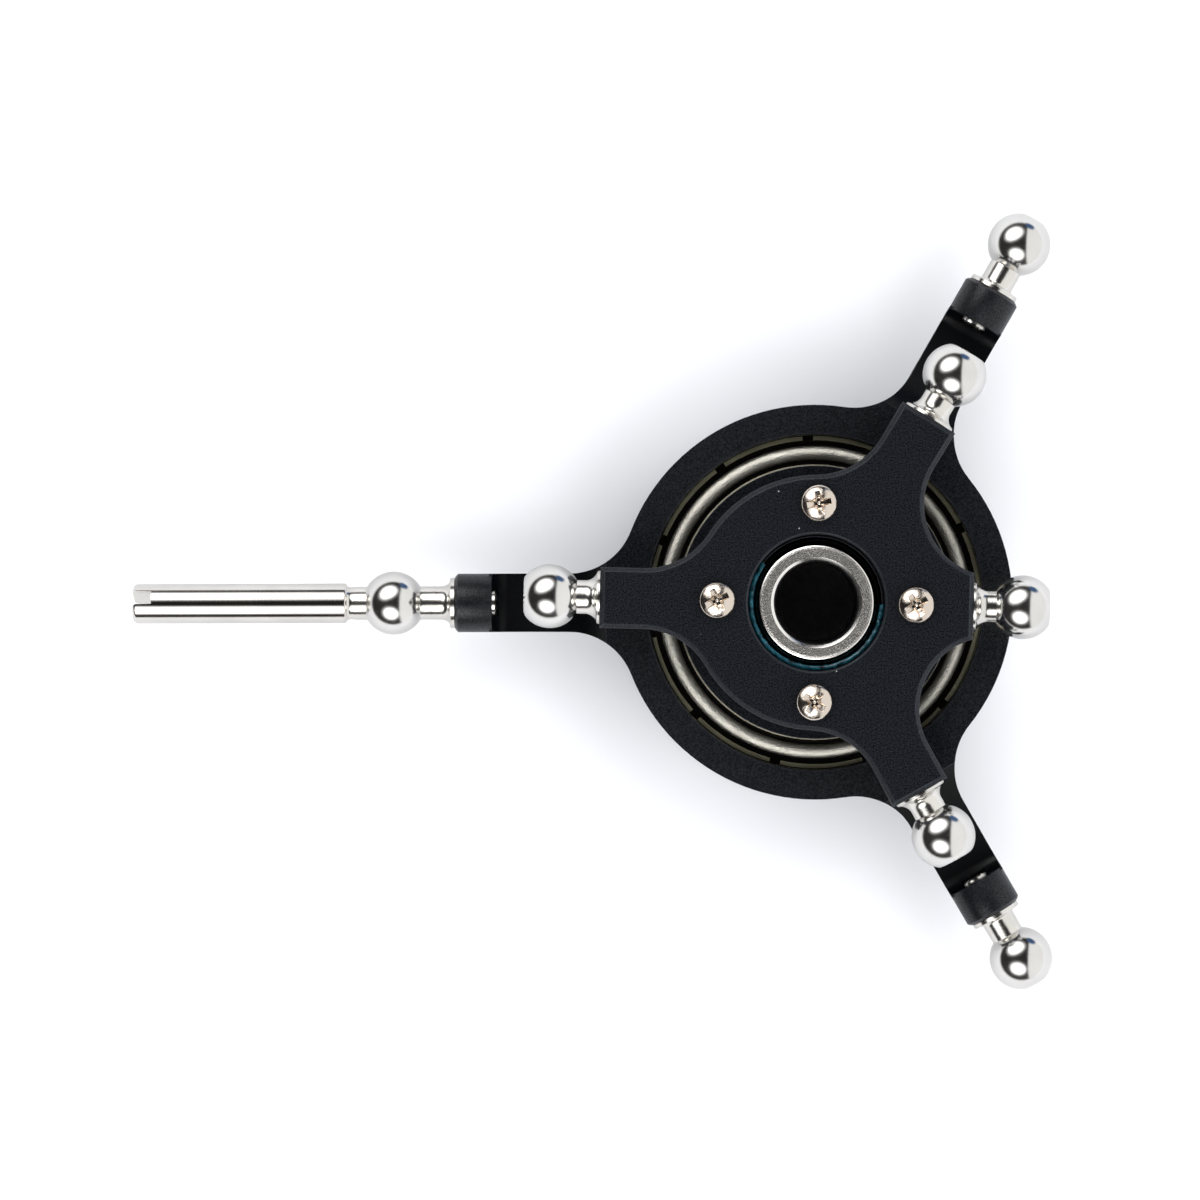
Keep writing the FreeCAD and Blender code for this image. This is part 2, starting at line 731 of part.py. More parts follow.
def stud_steps(depth, collar, width, flare, reach):
    """Return a ball stud's half section, from its thread's end to its neck."""
    rim = f"({collar} / 2)"
    neck = "(stud_neck / 2)"
    drop = f"({rim} - {neck})"
    radius = f"(({flare}) ^ 2 + {drop} ^ 2) / (2 * {drop})"
    return [
        (f"-({depth})", "0"),
        (f"-({depth})", "stud_thread / 2"),
        ("0", "stud_thread / 2"),
        ("0", rim),
        (width, rim),
        (f"{width} + {flare}", neck, radius, "left"),
        (f"{reach} - neck_way", neck),
    ]


def ball_stud(label, depth, collar, width, flare, reach):
    """One ball stud: thread, collar flared into the neck, and a ball with a small flat tip."""
    body = new_body(label)
    steps = stud_steps(depth, collar, width, flare, reach)
    steps.append((f"{reach} + tip_way", "ball_tip / 2", "link_ball / 2", "right"))
    steps.append((f"{reach} + tip_way", "0"))
    revolve(body, "stud", steps, axis="H_Axis")
    return body


def build_star_studs():
    """Four studs of the star: three on the long arms and one on the lug."""
    studs = []
    for name, angle in (("a", "60"), ("b", "180"), ("c", "300"), ("d", "0")):
        seat = "lug_reach" if name == "d" else "star_arm_reach"
        depth = "lug_stud_depth" if name == "d" else "star_stud_depth"
        body = ball_stud(
            f"rotor_ball_stud_{name}", depth, "star_stud_rim", "star_stud_rim_width",
            "star_stud_flare", "star_stud_reach",
        )
        turn_with_rotor(body, angle, x=seat, z="stud_level")
        studs.append(body)
    return studs


def build_servo_studs():
    """Two studs of the fixed ring, whose threads come out behind the bosses."""
    studs = []
    for name, angle in (("a", "60"), ("b", "300")):
        body = ball_stud(
            f"servo_ball_stud_{name}", "boss_length + stud_end", "servo_stud_collar",
            "servo_stud_collar_width", "servo_stud_flare", "servo_stud_reach",
        )
        body.Placement = FreeCAD.Placement(
            FreeCAD.Vector(), FreeCAD.Rotation(FreeCAD.Vector(0, 0, 1), 1)
        )
        bind(body, Placement__Rotation__Angle=angle, Placement__Base__z="arm_level")
        bind(body, Placement__Base__x=f"boss_end * cos({angle})")
        bind(body, Placement__Base__y=f"boss_end * sin({angle})")
        studs.append(body)
    return studs


def build_pin():
    """Anti-rotation pin: a ball stud that goes on as a long pin with a slotted end."""
    body = new_body("anti_rotation_pin")
    steps = stud_steps(
        "boss_length + stud_end", "servo_stud_collar", "servo_stud_collar_width",
        "servo_stud_flare", "pin_ball_reach",
    )
    start = "pin_start - boss_end"
    end = "pin_end - boss_end"
    steps.extend([
        ("pin_ball_reach + neck_way", "stud_neck / 2", "link_ball / 2", "right"),
        (start, "stud_neck / 2"),
        (f"{start} + pin_edge / 2", "pin_diameter / 2"),
        (f"{end} - pin_edge", "pin_diameter / 2"),
        (end, "pin_diameter / 2 - pin_edge"),
        (end, "0"),
    ])
    revolve(body, "pin", steps, axis="H_Axis")
    sketch = new_sketch(body, "slot_sketch", "XY_Plane")
    draw_outline(sketch, [
        (f"{end} - pin_slot_depth", "-pin_slot_width / 2"),
        (f"{end} + 1", "-pin_slot_width / 2"),
        (f"{end} + 1", "pin_slot_width / 2"),
        (f"{end} - pin_slot_depth", "pin_slot_width / 2"),
    ])
    slot = feature(body, "Pocket", "slot", sketch, Length="2 * pin_diameter")
    slot.Midplane = True
    cut_checked(body, slot)
    body.Placement = FreeCAD.Placement(
        FreeCAD.Vector(), FreeCAD.Rotation(FreeCAD.Vector(0, 0, 1), 180)
    )
    bind(body, Placement__Base__x="-boss_end", Placement__Base__z="arm_level")
    return body


def check(parts):
    """Stop if an object failed or a part's shape is empty or not valid."""
    for item in document.Objects:
        if "Invalid" in item.State or "Error" in item.State:
            raise ValueError(f"{item.Name} failed: {item.State}")
    for item in parts:
        if item.Shape.isNull() or not item.Shape.isValid():
            raise ValueError(f"{item.Label} has no valid shape")


def main():
    """Build every part and write it to its own file."""
    parts = [
        build_ring(),
        build_outer_race(),
        build_shield("bearing_shield_upper", "1"),
        build_shield("bearing_shield_lower", "(-1)"),
        build_clip(),
        build_pin(),
        build_cage(),
        build_balls(),
        build_star(),
        build_lower_hub(),
        build_inner_race(),
        build_seat("ball_seat_upper", "1"),
        build_seat("ball_seat_lower", "(-1)"),
        build_mast_ball(),
    ]
    parts.extend(build_servo_studs())
    parts.extend(build_star_studs())
    screws = document.addObject("Part::Compound", "clamp_screws")
    screws.Links = [build_screw(index) for index in range(4)]
    parts.append(screws)
    document.recompute()
    check(parts)
    os.makedirs("parts", exist_ok=True)
    for item in parts:
        item.Shape.exportStep(os.path.join("parts", item.Label + ".step"))


main()
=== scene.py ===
"""Model-helicopter swashplate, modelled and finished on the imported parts.

The origin is the centre of the mast ball, +Z points up along the mast and the anti-rotation
pin points along -X. Sizes in the classes below are in millimetres and degrees.
"""
import logging
import math
from dataclasses import dataclass
from enum import Enum
from typing import Callable, Sequence

import bpy
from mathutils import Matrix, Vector


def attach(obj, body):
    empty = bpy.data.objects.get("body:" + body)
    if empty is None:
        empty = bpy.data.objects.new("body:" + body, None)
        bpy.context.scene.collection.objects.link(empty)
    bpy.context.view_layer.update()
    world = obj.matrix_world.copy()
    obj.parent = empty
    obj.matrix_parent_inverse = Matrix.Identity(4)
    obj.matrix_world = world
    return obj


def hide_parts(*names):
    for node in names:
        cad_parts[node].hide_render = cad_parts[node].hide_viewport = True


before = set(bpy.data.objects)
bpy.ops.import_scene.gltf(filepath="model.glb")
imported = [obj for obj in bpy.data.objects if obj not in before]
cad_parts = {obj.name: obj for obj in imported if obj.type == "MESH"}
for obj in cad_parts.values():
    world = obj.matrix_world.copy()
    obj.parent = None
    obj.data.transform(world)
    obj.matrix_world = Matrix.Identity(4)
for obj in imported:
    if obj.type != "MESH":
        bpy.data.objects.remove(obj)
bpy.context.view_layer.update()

MM = 0.001
MERGE = 0.000002
ARMS = (60.0, 180.0, 300.0)
ROTOR_PHASE = -1.5
LOG = logging.getLogger("swashplate")

Point = tuple[float, float]
Place = tuple[float, float, float]
Colour = tuple[float, float, float, float]
Test = Callable[[Vector, Vector], bool]
Piece = bpy.types.Object
Material = bpy.types.Material
Tree = bpy.types.NodeTree
Node = bpy.types.Node
Socket = bpy.types.NodeSocket


# ---------------------------------------------------------------- bench work


class Cut(Enum):
    """What a tool does to the piece it meets."""

    AWAY = "DIFFERENCE"
    ON = "UNION"


class Axis(Enum):
    """The line that a section is turned about."""

    MAST = (0.0, 0.0, 1.0)
    ARM = (1.0, 0.0, 0.0)


def take(*pieces: Piece) -> None:
    """Select these pieces and nothing else; the first one is active."""
    if bpy.context.object and bpy.context.object.mode != "OBJECT":
        bpy.ops.object.mode_set(mode="OBJECT")
    bpy.ops.object.select_all(action="DESELECT")
    for piece in pieces:
        piece.select_set(True)
    bpy.context.view_layer.objects.active = pieces[0] if pieces else None


def name_piece(piece: Piece, name: str) -> Piece:
    """Name a piece and its mesh."""
    piece.name = name
    piece.data.name = name
    return piece


def arc(centre: Point, radius: float, start: float, end: float, step: float = 4.0) -> list[Point]:
    """Walk along a round, clockwise where the end angle is the smaller one.

    Args:
        centre: Centre of the round.
        radius: Its radius.
        start: First angle in degrees.
        end: Last angle in degrees.
        step: Largest turn between two points.

    Returns:
        The points from start to end, both included.
    """
    count = max(2, math.ceil(abs(end - start) / step))
    angles = [math.radians(start + (end - start) * k / count) for k in range(count + 1)]
    return [(centre[0] + radius * math.cos(a), centre[1] + radius * math.sin(a)) for a in angles]


def turned(points: Sequence[Point], angle: float) -> list[Point]:
    """Turn points of a plan about the mast by an angle in degrees."""
    c, s = math.cos(math.radians(angle)), math.sin(math.radians(angle))
    return [(c * x - s * y, s * x + c * y) for x, y in points]


def settle() -> None:
    """Bring the selected piece's place, turn and scale into its mesh."""
    bpy.ops.object.transform_apply(location=True, rotation=True, scale=True)


def edit_all() -> None:
    """Enter edit mode with the whole mesh selected."""
    bpy.ops.object.mode_set(mode="EDIT")
    bpy.ops.mesh.select_all(action="SELECT")


def trace(name: str, points: Sequence[Place]) -> Piece:
    """Draw a wire by extruding one point from place to place.

    Args:
        name: Name of the new piece.
        points: Where the wire goes; the last point is the first one again where it closes.

    Returns:
        The wire, with its object at the origin.
    """
    take()
    bpy.ops.mesh.primitive_plane_add(size=MM, location=Vector(points[0]) * MM)
    piece = name_piece(bpy.context.object, name)
    bpy.ops.object.mode_set(mode="EDIT")
    bpy.ops.mesh.select_mode(type="VERT")
    bpy.ops.mesh.select_all(action="SELECT")
    bpy.ops.mesh.merge(type="CENTER")
    for before, after in zip(points, points[1:]):
        step = (Vector(after) - Vector(before)) * MM
        bpy.ops.mesh.extrude_region_move(TRANSFORM_OT_translate={"value": step})
    bpy.ops.mesh.select_all(action="SELECT")
    bpy.ops.mesh.remove_doubles(threshold=MERGE)
    bpy.ops.object.mode_set(mode="OBJECT")
    settle()
    return piece


def close_up() -> None:
    """Merge doubles and turn all faces of the mesh in edit mode outwards."""
    bpy.ops.mesh.select_all(action="SELECT")
    bpy.ops.mesh.remove_doubles(threshold=MERGE)
    bpy.ops.mesh.normals_make_consistent(inside=False)
    bpy.ops.object.mode_set(mode="OBJECT")


def lathe(
    name: str, section: Sequence[Point], axis: Axis = Axis.MAST, steps: int = 96, sweep: float = 360.0
) -> Piece:
    """Turn a half section on the lathe.

    Args:
        name: Name of the new piece.
        section: (radius, height) points about the mast, or (x, radius) points about an arm.
        axis: The line that it turns about.
        steps: Facets of the whole turn.
        sweep: How far it turns, in degrees.

    Returns:
        The turned piece.
    """
    piece = trace(name, [(u, 0.0, v) for u, v in section])
    edit_all()
    bpy.ops.mesh.spin(steps=steps, angle=math.radians(sweep), center=(0, 0, 0), axis=axis.value)
    close_up()
    return piece


def plate(name: str, outline: Sequence[Place], way: Place) -> Piece:
    """Fill a closed outline and extrude it.

    Args:
        name: Name of the new piece.
        outline: Points in order, without the first one again.
        way: Direction and length of the extrusion.

    Returns:
        The closed solid.
    """
    piece = trace(name, [*outline, outline[0]])
    edit_all()
    bpy.ops.mesh.edge_face_add()
    step = tuple(part * MM for part in way)
    bpy.ops.mesh.extrude_region_move(TRANSFORM_OT_translate={"value": step})
    close_up()
    return piece


def slab(name: str, outline: Sequence[Point], low: float, high: float) -> Piece:
    """Saw a plan outline out of plate.

    Args:
        name: Name of the new piece.
        outline: Points of the plan, in order, without the first one again.
        low: Height of the underside.
        high: Height of the top.

    Returns:
        The closed slab.
    """
    return plate(name, [(x, y, low) for x, y in outline], (0.0, 0.0, high - low))


def block(name: str, size: Place, centre: Place) -> Piece:
    """Set up a rectangular cutter of a size at a place."""
    take()
    bpy.ops.mesh.primitive_cube_add(size=MM, location=Vector(centre) * MM, scale=size)
    piece = name_piece(bpy.context.object, name)
    settle()
    return piece


def rod(name: str, radius: float, low: float, high: float, place: Point) -> Piece:
    """Set up an upright round tool over a place of the plan."""
    take()
    middle = (place[0] * MM, place[1] * MM, (low + high) / 2 * MM)
    bpy.ops.mesh.primitive_cylinder_add(
        vertices=48, radius=radius * MM, depth=(high - low) * MM, location=middle
    )
    piece = name_piece(bpy.context.object, name)
    settle()
    return piece


def move(piece: Piece, turn: float = 0.0, shift: Place = (0, 0, 0)) -> Piece:
    """Turn a piece about the mast, then shift it, and keep its object at the origin.

    Args:
        piece: The piece.
        turn: Angle about the mast in degrees.
        shift: Way in millimetres.

    Returns:
        The same piece.
    """
    take(piece)
    piece.rotation_euler = (0, 0, math.radians(turn))
    settle()
    piece.location = Vector(shift) * MM
    settle()
    return piece


def copy_of(piece: Piece, name: str) -> Piece:
    """Copy a piece together with its mesh."""
    take(piece)
    bpy.ops.object.duplicate(linked=False)
    return name_piece(bpy.context.object, name)


def work(piece: Piece, tool: Piece, cut: Cut = Cut.AWAY) -> None:
    """Cut a tool's shape out of a piece, or weld it on, and put the tool away.

    Args:
        piece: The piece that changes.
        tool: The shape that is used up.
        cut: Whether the shape comes off or on.
    """
    take(piece)
    modifier = piece.modifiers.new("cut", "BOOLEAN")
    modifier.operation = cut.value
    modifier.solver = "EXACT"
    modifier.object = tool
    bpy.ops.object.modifier_apply(modifier="cut")
    bpy.data.objects.remove(tool)


def break_edges(piece: Piece, width: float, segments: int = 2, angle: float = 32.0) -> None:
    """Break every sharp edge of a piece.

    Args:
        piece: The piece.
        width: Width of the small bevel.
        segments: Facets across it.
        angle: Edges sharper than this are broken.
    """
    take(piece)
    modifier = piece.modifiers.new("edges", "BEVEL")
    modifier.width = width * MM
    modifier.segments = segments
    modifier.limit_method = "ANGLE"
    modifier.angle_limit = math.radians(angle)
    bpy.ops.object.modifier_apply(modifier="edges")


def pick_edges(piece: Piece, test: Test) -> None:
    """Select, by the places of their ends, the edges that a test accepts, and stay in edit mode."""
    take(piece)
    bpy.ops.object.mode_set(mode="EDIT")
    bpy.ops.mesh.select_mode(type="EDGE")
    bpy.ops.mesh.select_all(action="DESELECT")
    bpy.ops.object.mode_set(mode="OBJECT")
    mesh = piece.data
    for edge in mesh.edges:
        first, last = (mesh.vertices[k].co / MM for k in edge.vertices)
        edge.select = test(first, last)
    bpy.ops.object.mode_set(mode="EDIT")


def chamfer_level(piece: Piece, level: float, width: float) -> None:
    """Chamfer all the edges that lie at one height.

    Args:
        piece: The piece.
        level: Height of the edges.
        width: Width of the chamfer along each face.
    """
    pick_edges(piece, lambda a, b: abs(a.z - level) < 0.001 and abs(b.z - level) < 0.001)
    bpy.ops.mesh.bevel(offset=width * MM, segments=1, affect="EDGES")
    bpy.ops.object.mode_set(mode="OBJECT")


def smooth(piece: Piece, angle: float = 35.0, weighted: bool = True) -> None:
    """Shade a piece smooth up to an angle and let its large faces lead the normals.

    Args:
        piece: The piece.
        angle: Edges sharper than this stay crisp.
        weighted: Whether the large faces lead.
    """
    take(piece)
    bpy.ops.object.shade_smooth_by_angle(angle=math.radians(angle))
    if weighted:
        modifier = piece.modifiers.new("normals", "WEIGHTED_NORMAL")
        modifier.keep_sharp = True
        bpy.ops.object.modifier_apply(modifier="normals")


# ---------------------------------------------------------------- finishes


class Wiring:
    """A node tree with short ways to add nodes and to join them."""

    def __init__(self, tree: Tree) -> None:
        """Keep the tree."""
        self.tree = tree

    def add(self, kind: str, **settings: object) -> Node:
        """Add a node and give it its settings."""
        node = self.tree.nodes.new(kind)
        for name, value in settings.items():
            setattr(node, name, value)
        return node

    def join(self, source: object, target: Socket) -> None:
        """Join an output to an input, or give the input a plain value."""
        if isinstance(source, Socket):
            self.tree.links.new(source, target)
        else:
            target.default_value = source

    def math(self, operation: str, first: object, second: object = 0.0, clamp: bool = False) -> Socket:
        """Add a sum of two numbers or sockets.

        Args:
            operation: Name of the operation.
            first: Number or output.
            second: Number or output.
            clamp: Whether the result stays from 0 to 1.

        Returns:
            The result's output.
        """
        node = self.add("ShaderNodeMath", operation=operation, use_clamp=clamp)
        self.join(first, node.inputs[0])
        self.join(second, node.inputs[1])
        return node.outputs[0]

    def blend(self, mask: Socket, low: object, high: object) -> Socket:
        """Blend two colours or colour outputs by a mask and return the result's output."""
        node = self.add("ShaderNodeMix", data_type="RGBA")
        self.join(mask, node.inputs["Factor"])
        self.join(low, node.inputs[6])
        self.join(high, node.inputs[7])
        return node.outputs[2]

    def between(self, mask: Socket, low: float, high: float) -> Socket:
        """Map a 0 to 1 mask to two numbers and return the result's output."""
        node = self.add("ShaderNodeMapRange")
        self.join(mask, node.inputs["Value"])
        node.inputs["To Min"].default_value = low
        node.inputs["To Max"].default_value = high
        return node.outputs[0]

    def ramp(self, value: Socket, low: float, high: float) -> Socket:
        """Ease from 0 at one value to 1 at another and return the result's output."""
        node = self.add("ShaderNodeMapRange", interpolation_type="SMOOTHSTEP")
        self.join(value, node.inputs["Value"])
        node.inputs["From Min"].default_value = low
        node.inputs["From Max"].default_value = high
        return node.outputs[0]

    def along(self, vector: Socket, direction: object) -> Socket:
        """Measure a vector along a direction and return the result's output."""
        node = self.add("ShaderNodeVectorMath", operation="DOT_PRODUCT")
        self.join(vector, node.inputs[0])
        self.join(direction, node.inputs[1])
        return node.outputs["Value"]


def new_group(
    name: str, inputs: dict[str, tuple[str, float]], outputs: Sequence[str]
) -> tuple[Wiring, Node, Node]:
    """Start a shader node group.

    Args:
        name: Name of the effect.
        inputs: Socket type and first value by input name; a vector has none.
        outputs: Names of the number outputs.

    Returns:
        The wiring of the group, its input node and its output node.
    """
    tree = bpy.data.node_groups.new(name, "ShaderNodeTree")
    for key, (kind, value) in inputs.items():
        socket = tree.interface.new_socket(name=key, in_out="INPUT", socket_type=kind)
        if kind == "NodeSocketFloat":
            socket.default_value = value
    for key in outputs:
        tree.interface.new_socket(name=key, in_out="OUTPUT", socket_type="NodeSocketFloat")
    wiring = Wiring(tree)
    return wiring, wiring.add("NodeGroupInput"), wiring.add("NodeGroupOutput")


class Effects:
    """The shared effects, each built once as a node group."""

    def __init__(self) -> None:
        """Build every group."""
        self.grain = self._grain()
        self.wear_and_highlight = self._wear_and_highlight()
        self.turning = self._turning()
        self.dust = self._dust()

    def _grain(self) -> Tree:
        """Fine grain of a blasted or etched surface, with a slow mottle."""
        wiring, given, made = new_group(
            "fine_grain",
            {"Vector": ("NodeSocketVector", 0), "Scale": ("NodeSocketFloat", 9000.0)},
            ("Grain", "Mottle"),
        )
        fine = wiring.add("ShaderNodeTexNoise")
        fine.inputs["Detail"].default_value = 3.0
        slow = wiring.add("ShaderNodeTexNoise")
        slow.inputs["Detail"].default_value = 2.0
        wiring.join(given.outputs["Vector"], fine.inputs["Vector"])
        wiring.join(given.outputs["Vector"], slow.inputs["Vector"])
        wiring.join(given.outputs["Scale"], fine.inputs["Scale"])
        wiring.join(wiring.math("MULTIPLY", given.outputs["Scale"], 0.06), slow.inputs["Scale"])
        wiring.join(fine.outputs["Fac"], made.inputs["Grain"])
        wiring.join(slow.outputs["Fac"], made.inputs["Mottle"])
        return wiring.tree

    def _wear_and_highlight(self) -> Tree:
        """Mask of the edges for a lighter line: partly a coat worn thin, partly a painted highlight of light
        caught on edges.
        """
        wiring, given, made = new_group(
            "edge_wear_and_highlight",
            {
                "Vector": ("NodeSocketVector", 0),
                "Width": ("NodeSocketFloat", 0.0001),
                "Amount": ("NodeSocketFloat", 1.0),
            },
            ("Mask",),
        )
        bevel = wiring.add("ShaderNodeBevel", samples=4)
        wiring.join(given.outputs["Width"], bevel.inputs["Radius"])
        plain = wiring.add("ShaderNodeNewGeometry")
        same = wiring.along(bevel.outputs["Normal"], plain.outputs["Normal"])
        edge = wiring.math("SUBTRACT", 1.0, same, clamp=True)
        noise = wiring.add("ShaderNodeTexNoise")
        noise.inputs["Scale"].default_value = 1400.0
        wiring.join(given.outputs["Vector"], noise.inputs["Vector"])
        uneven = wiring.math("MULTIPLY_ADD", noise.outputs["Fac"], 1.6)
        uneven.node.inputs[2].default_value = 0.2
        strong = wiring.math("MULTIPLY", wiring.math("MULTIPLY", edge, 3.2), uneven)
        wiring.join(wiring.math("MULTIPLY", strong, given.outputs["Amount"], clamp=True), made.inputs["Mask"])
        return wiring.tree

    def _turning(self) -> Tree:
        """Fine marks of a lathe tool, in rings round the Z axis of the given vector."""
        wiring, given, made = new_group(
            "turning_marks",
            {"Vector": ("NodeSocketVector", 0), "Pitch": ("NodeSocketFloat", 0.00005)},
            ("Marks",),
        )
        flat = wiring.add("ShaderNodeVectorMath", operation="MULTIPLY")
        flat.inputs[1].default_value = (1, 1, 0)
        wiring.join(given.outputs["Vector"], flat.inputs[0])
        length = wiring.add("ShaderNodeVectorMath", operation="LENGTH")
        wiring.join(flat.outputs["Vector"], length.inputs[0])
        split = wiring.add("ShaderNodeSeparateXYZ")
        wiring.join(given.outputs["Vector"], split.inputs[0])
        pair = wiring.add("ShaderNodeCombineXYZ")
        wiring.join(wiring.math("DIVIDE", length.outputs["Value"], given.outputs["Pitch"]), pair.inputs["X"])
        wiring.join(wiring.math("DIVIDE", split.outputs["Z"], given.outputs["Pitch"]), pair.inputs["Y"])
        noise = wiring.add("ShaderNodeTexNoise", noise_dimensions="2D")
        noise.inputs["Scale"].default_value = 1.0
        noise.inputs["Detail"].default_value = 2.0
        wiring.join(pair.outputs["Vector"], noise.inputs["Vector"])
        wiring.join(noise.outputs["Fac"], made.inputs["Marks"])
        return wiring.tree

    def _dust(self) -> Tree:
        """Mask of a few small pale specks."""
        wiring, given, made = new_group(
            "dust_specks",
            {
                "Vector": ("NodeSocketVector", 0),
                "Cells": ("NodeSocketFloat", 700.0),
                "Share": ("NodeSocketFloat", 0.1),
            },
            ("Mask",),
        )
        cells = wiring.add("ShaderNodeTexVoronoi")
        wiring.join(given.outputs["Vector"], cells.inputs["Vector"])
        wiring.join(given.outputs["Cells"], cells.inputs["Scale"])
        near = wiring.math("LESS_THAN", cells.outputs["Distance"], 0.035)
        split = wiring.add("ShaderNodeSeparateColor")
        wiring.join(cells.outputs["Color"], split.inputs[0])
        some = wiring.math("LESS_THAN", split.outputs[0], given.outputs["Share"])
        wiring.join(wiring.math("MULTIPLY", near, some), made.inputs["Mask"])
        return wiring.tree


@dataclass(frozen=True)
class Finish:
    """One finish: the plain values of its shader and the effects laid over it."""

    name: str
    colour: Colour
    metal: float
    roughness: Point
    # Colour of the lighter edge lines: partly wear, partly a painted highlight.
    worn_highlight: Colour = (0.9, 0.9, 0.9, 1)
    grain_scale: float = 9000.0
    grain_bump: float = 0.15
    speck: float = 0.0
    marks_pitch: float = 0.0
    marks_bump: float = 0.0
    # Strength and width of the lighter edge lines, which are partly wear and partly painted highlight.
    wear_and_highlight: float = 0.0
    wear_and_highlight_width: float = 0.08
    dust: float = 0.0
    coat: float = 0.0
    level: float = 0.5
    axis: Axis = Axis.MAST
    centre: Place = (0.0, 0.0, 0.0)
    heading: float = 0.0

    def material(self, effects: Effects) -> Material:
        """Build the material.

        Args:
            effects: The shared node groups.

        Returns:
            The new material.
        """
        material = bpy.data.materials.new(self.name)
        material.use_nodes = True
        wiring = Wiring(material.node_tree)
        shader = material.node_tree.nodes["Principled BSDF"]
        shader.inputs["Metallic"].default_value = self.metal
        shader.inputs["Coat Weight"].default_value = self.coat
        shader.inputs["Coat Roughness"].default_value = 0.08
        shader.inputs["Specular IOR Level"].default_value = self.level
        place = wiring.add("ShaderNodeTexCoord")
        grain = self._effect(wiring, effects.grain, place, {"Scale": self.grain_scale})
        colour = wiring.blend(grain.outputs["Mottle"], self._shade(0.86), self._shade(1.14))
        if self.speck:
            spots = wiring.between(grain.outputs["Grain"], 0.0, 1.0)
            spots.node.inputs["From Min"].default_value = 0.3
            spots.node.inputs["From Max"].default_value = 0.7
            colour = wiring.blend(spots, self._shade(1.0 - self.speck), self._shade(1.0 + self.speck))
            shine = wiring.between(spots, self.level * (1.0 - self.speck), self.level * (1.0 + self.speck))
            wiring.join(shine, shader.inputs["Specular IOR Level"])
        height = wiring.math("MULTIPLY", grain.outputs["Grain"], self.grain_bump)
        rough = wiring.between(grain.outputs["Mottle"], *self.roughness)
        if self.marks_pitch:
            centred = self._centred(wiring, place)
            marks = self._effect(wiring, effects.turning, centred, {"Pitch": self.marks_pitch * MM})
            part = wiring.math("MULTIPLY", marks.outputs["Marks"], self.marks_bump)
            height = wiring.math("ADD", height, part)
            shift = wiring.between(marks.outputs["Marks"], -0.05, 0.05)
            rough = wiring.math("ADD", rough, shift, clamp=True)
        # Lightens the edges: partly edge wear, partly a painted highlight of the light that edges catch.
        if self.wear_and_highlight:
            worn_highlight = self._effect(
                wiring, effects.wear_and_highlight, place, {"Width": self.wear_and_highlight_width * MM, "Amount": self.wear_and_highlight}
            )
            colour = wiring.blend(worn_highlight.outputs["Mask"], colour, self.worn_highlight)
        if self.dust:
            specks = self._effect(wiring, effects.dust, place, {"Share": self.dust})
            colour = wiring.blend(specks.outputs["Mask"], colour, (0.4, 0.4, 0.4, 1.0))
        wiring.join(colour, shader.inputs["Base Color"])
        wiring.join(rough, shader.inputs["Roughness"])
        bump = wiring.add("ShaderNodeBump")
        bump.inputs["Distance"].default_value = 0.00002
        bump.inputs["Strength"].default_value = 1.0
        wiring.join(height, bump.inputs["Height"])
        wiring.join(bump.outputs["Normal"], shader.inputs["Normal"])
        return material

    def _shade(self, factor: float) -> Colour:
        """Return the finish's colour, darker or lighter by a factor."""
        return tuple(min(1.0, part * factor) for part in self.colour[:3]) + (1.0,)

    def _effect(self, wiring: Wiring, tree: Tree, place: Node, values: dict[str, float]) -> Node:
        """Place a shared effect in the material.

        Args:
            wiring: The material's wiring.
            tree: The effect.
            place: Node that gives the coordinates.
            values: The effect's own values by input name.

        Returns:
            The group node.
        """
        node = wiring.add("ShaderNodeGroup", node_tree=tree)
        source = place.outputs["Object"] if "Object" in place.outputs else place.outputs["Vector"]
        wiring.join(source, node.inputs["Vector"])
        for name, value in values.items():
            node.inputs[name].default_value = value
        return node

    def _centred(self, wiring: Wiring, place: Node) -> Node:
        """Bring the piece's own axis onto Z.

        Args:
            wiring: The material's wiring.
            place: Node that gives the object coordinates.

        Returns:
            The last mapping node.
        """
        shift = wiring.add("ShaderNodeMapping")
        shift.inputs["Location"].default_value = tuple(-part * MM for part in self.centre)
        wiring.join(place.outputs["Object"], shift.inputs["Vector"])
        if self.axis is Axis.MAST:
            return shift
        heading = wiring.add("ShaderNodeMapping")
        heading.inputs["Rotation"].default_value = (0, 0, -math.radians(self.heading))
        wiring.join(shift.outputs["Vector"], heading.inputs["Vector"])
        tip = wiring.add("ShaderNodeMapping")
        tip.inputs["Rotation"].default_value = (0, -math.pi / 2, 0)
        wiring.join(heading.outputs["Vector"], tip.inputs["Vector"])
        return tip


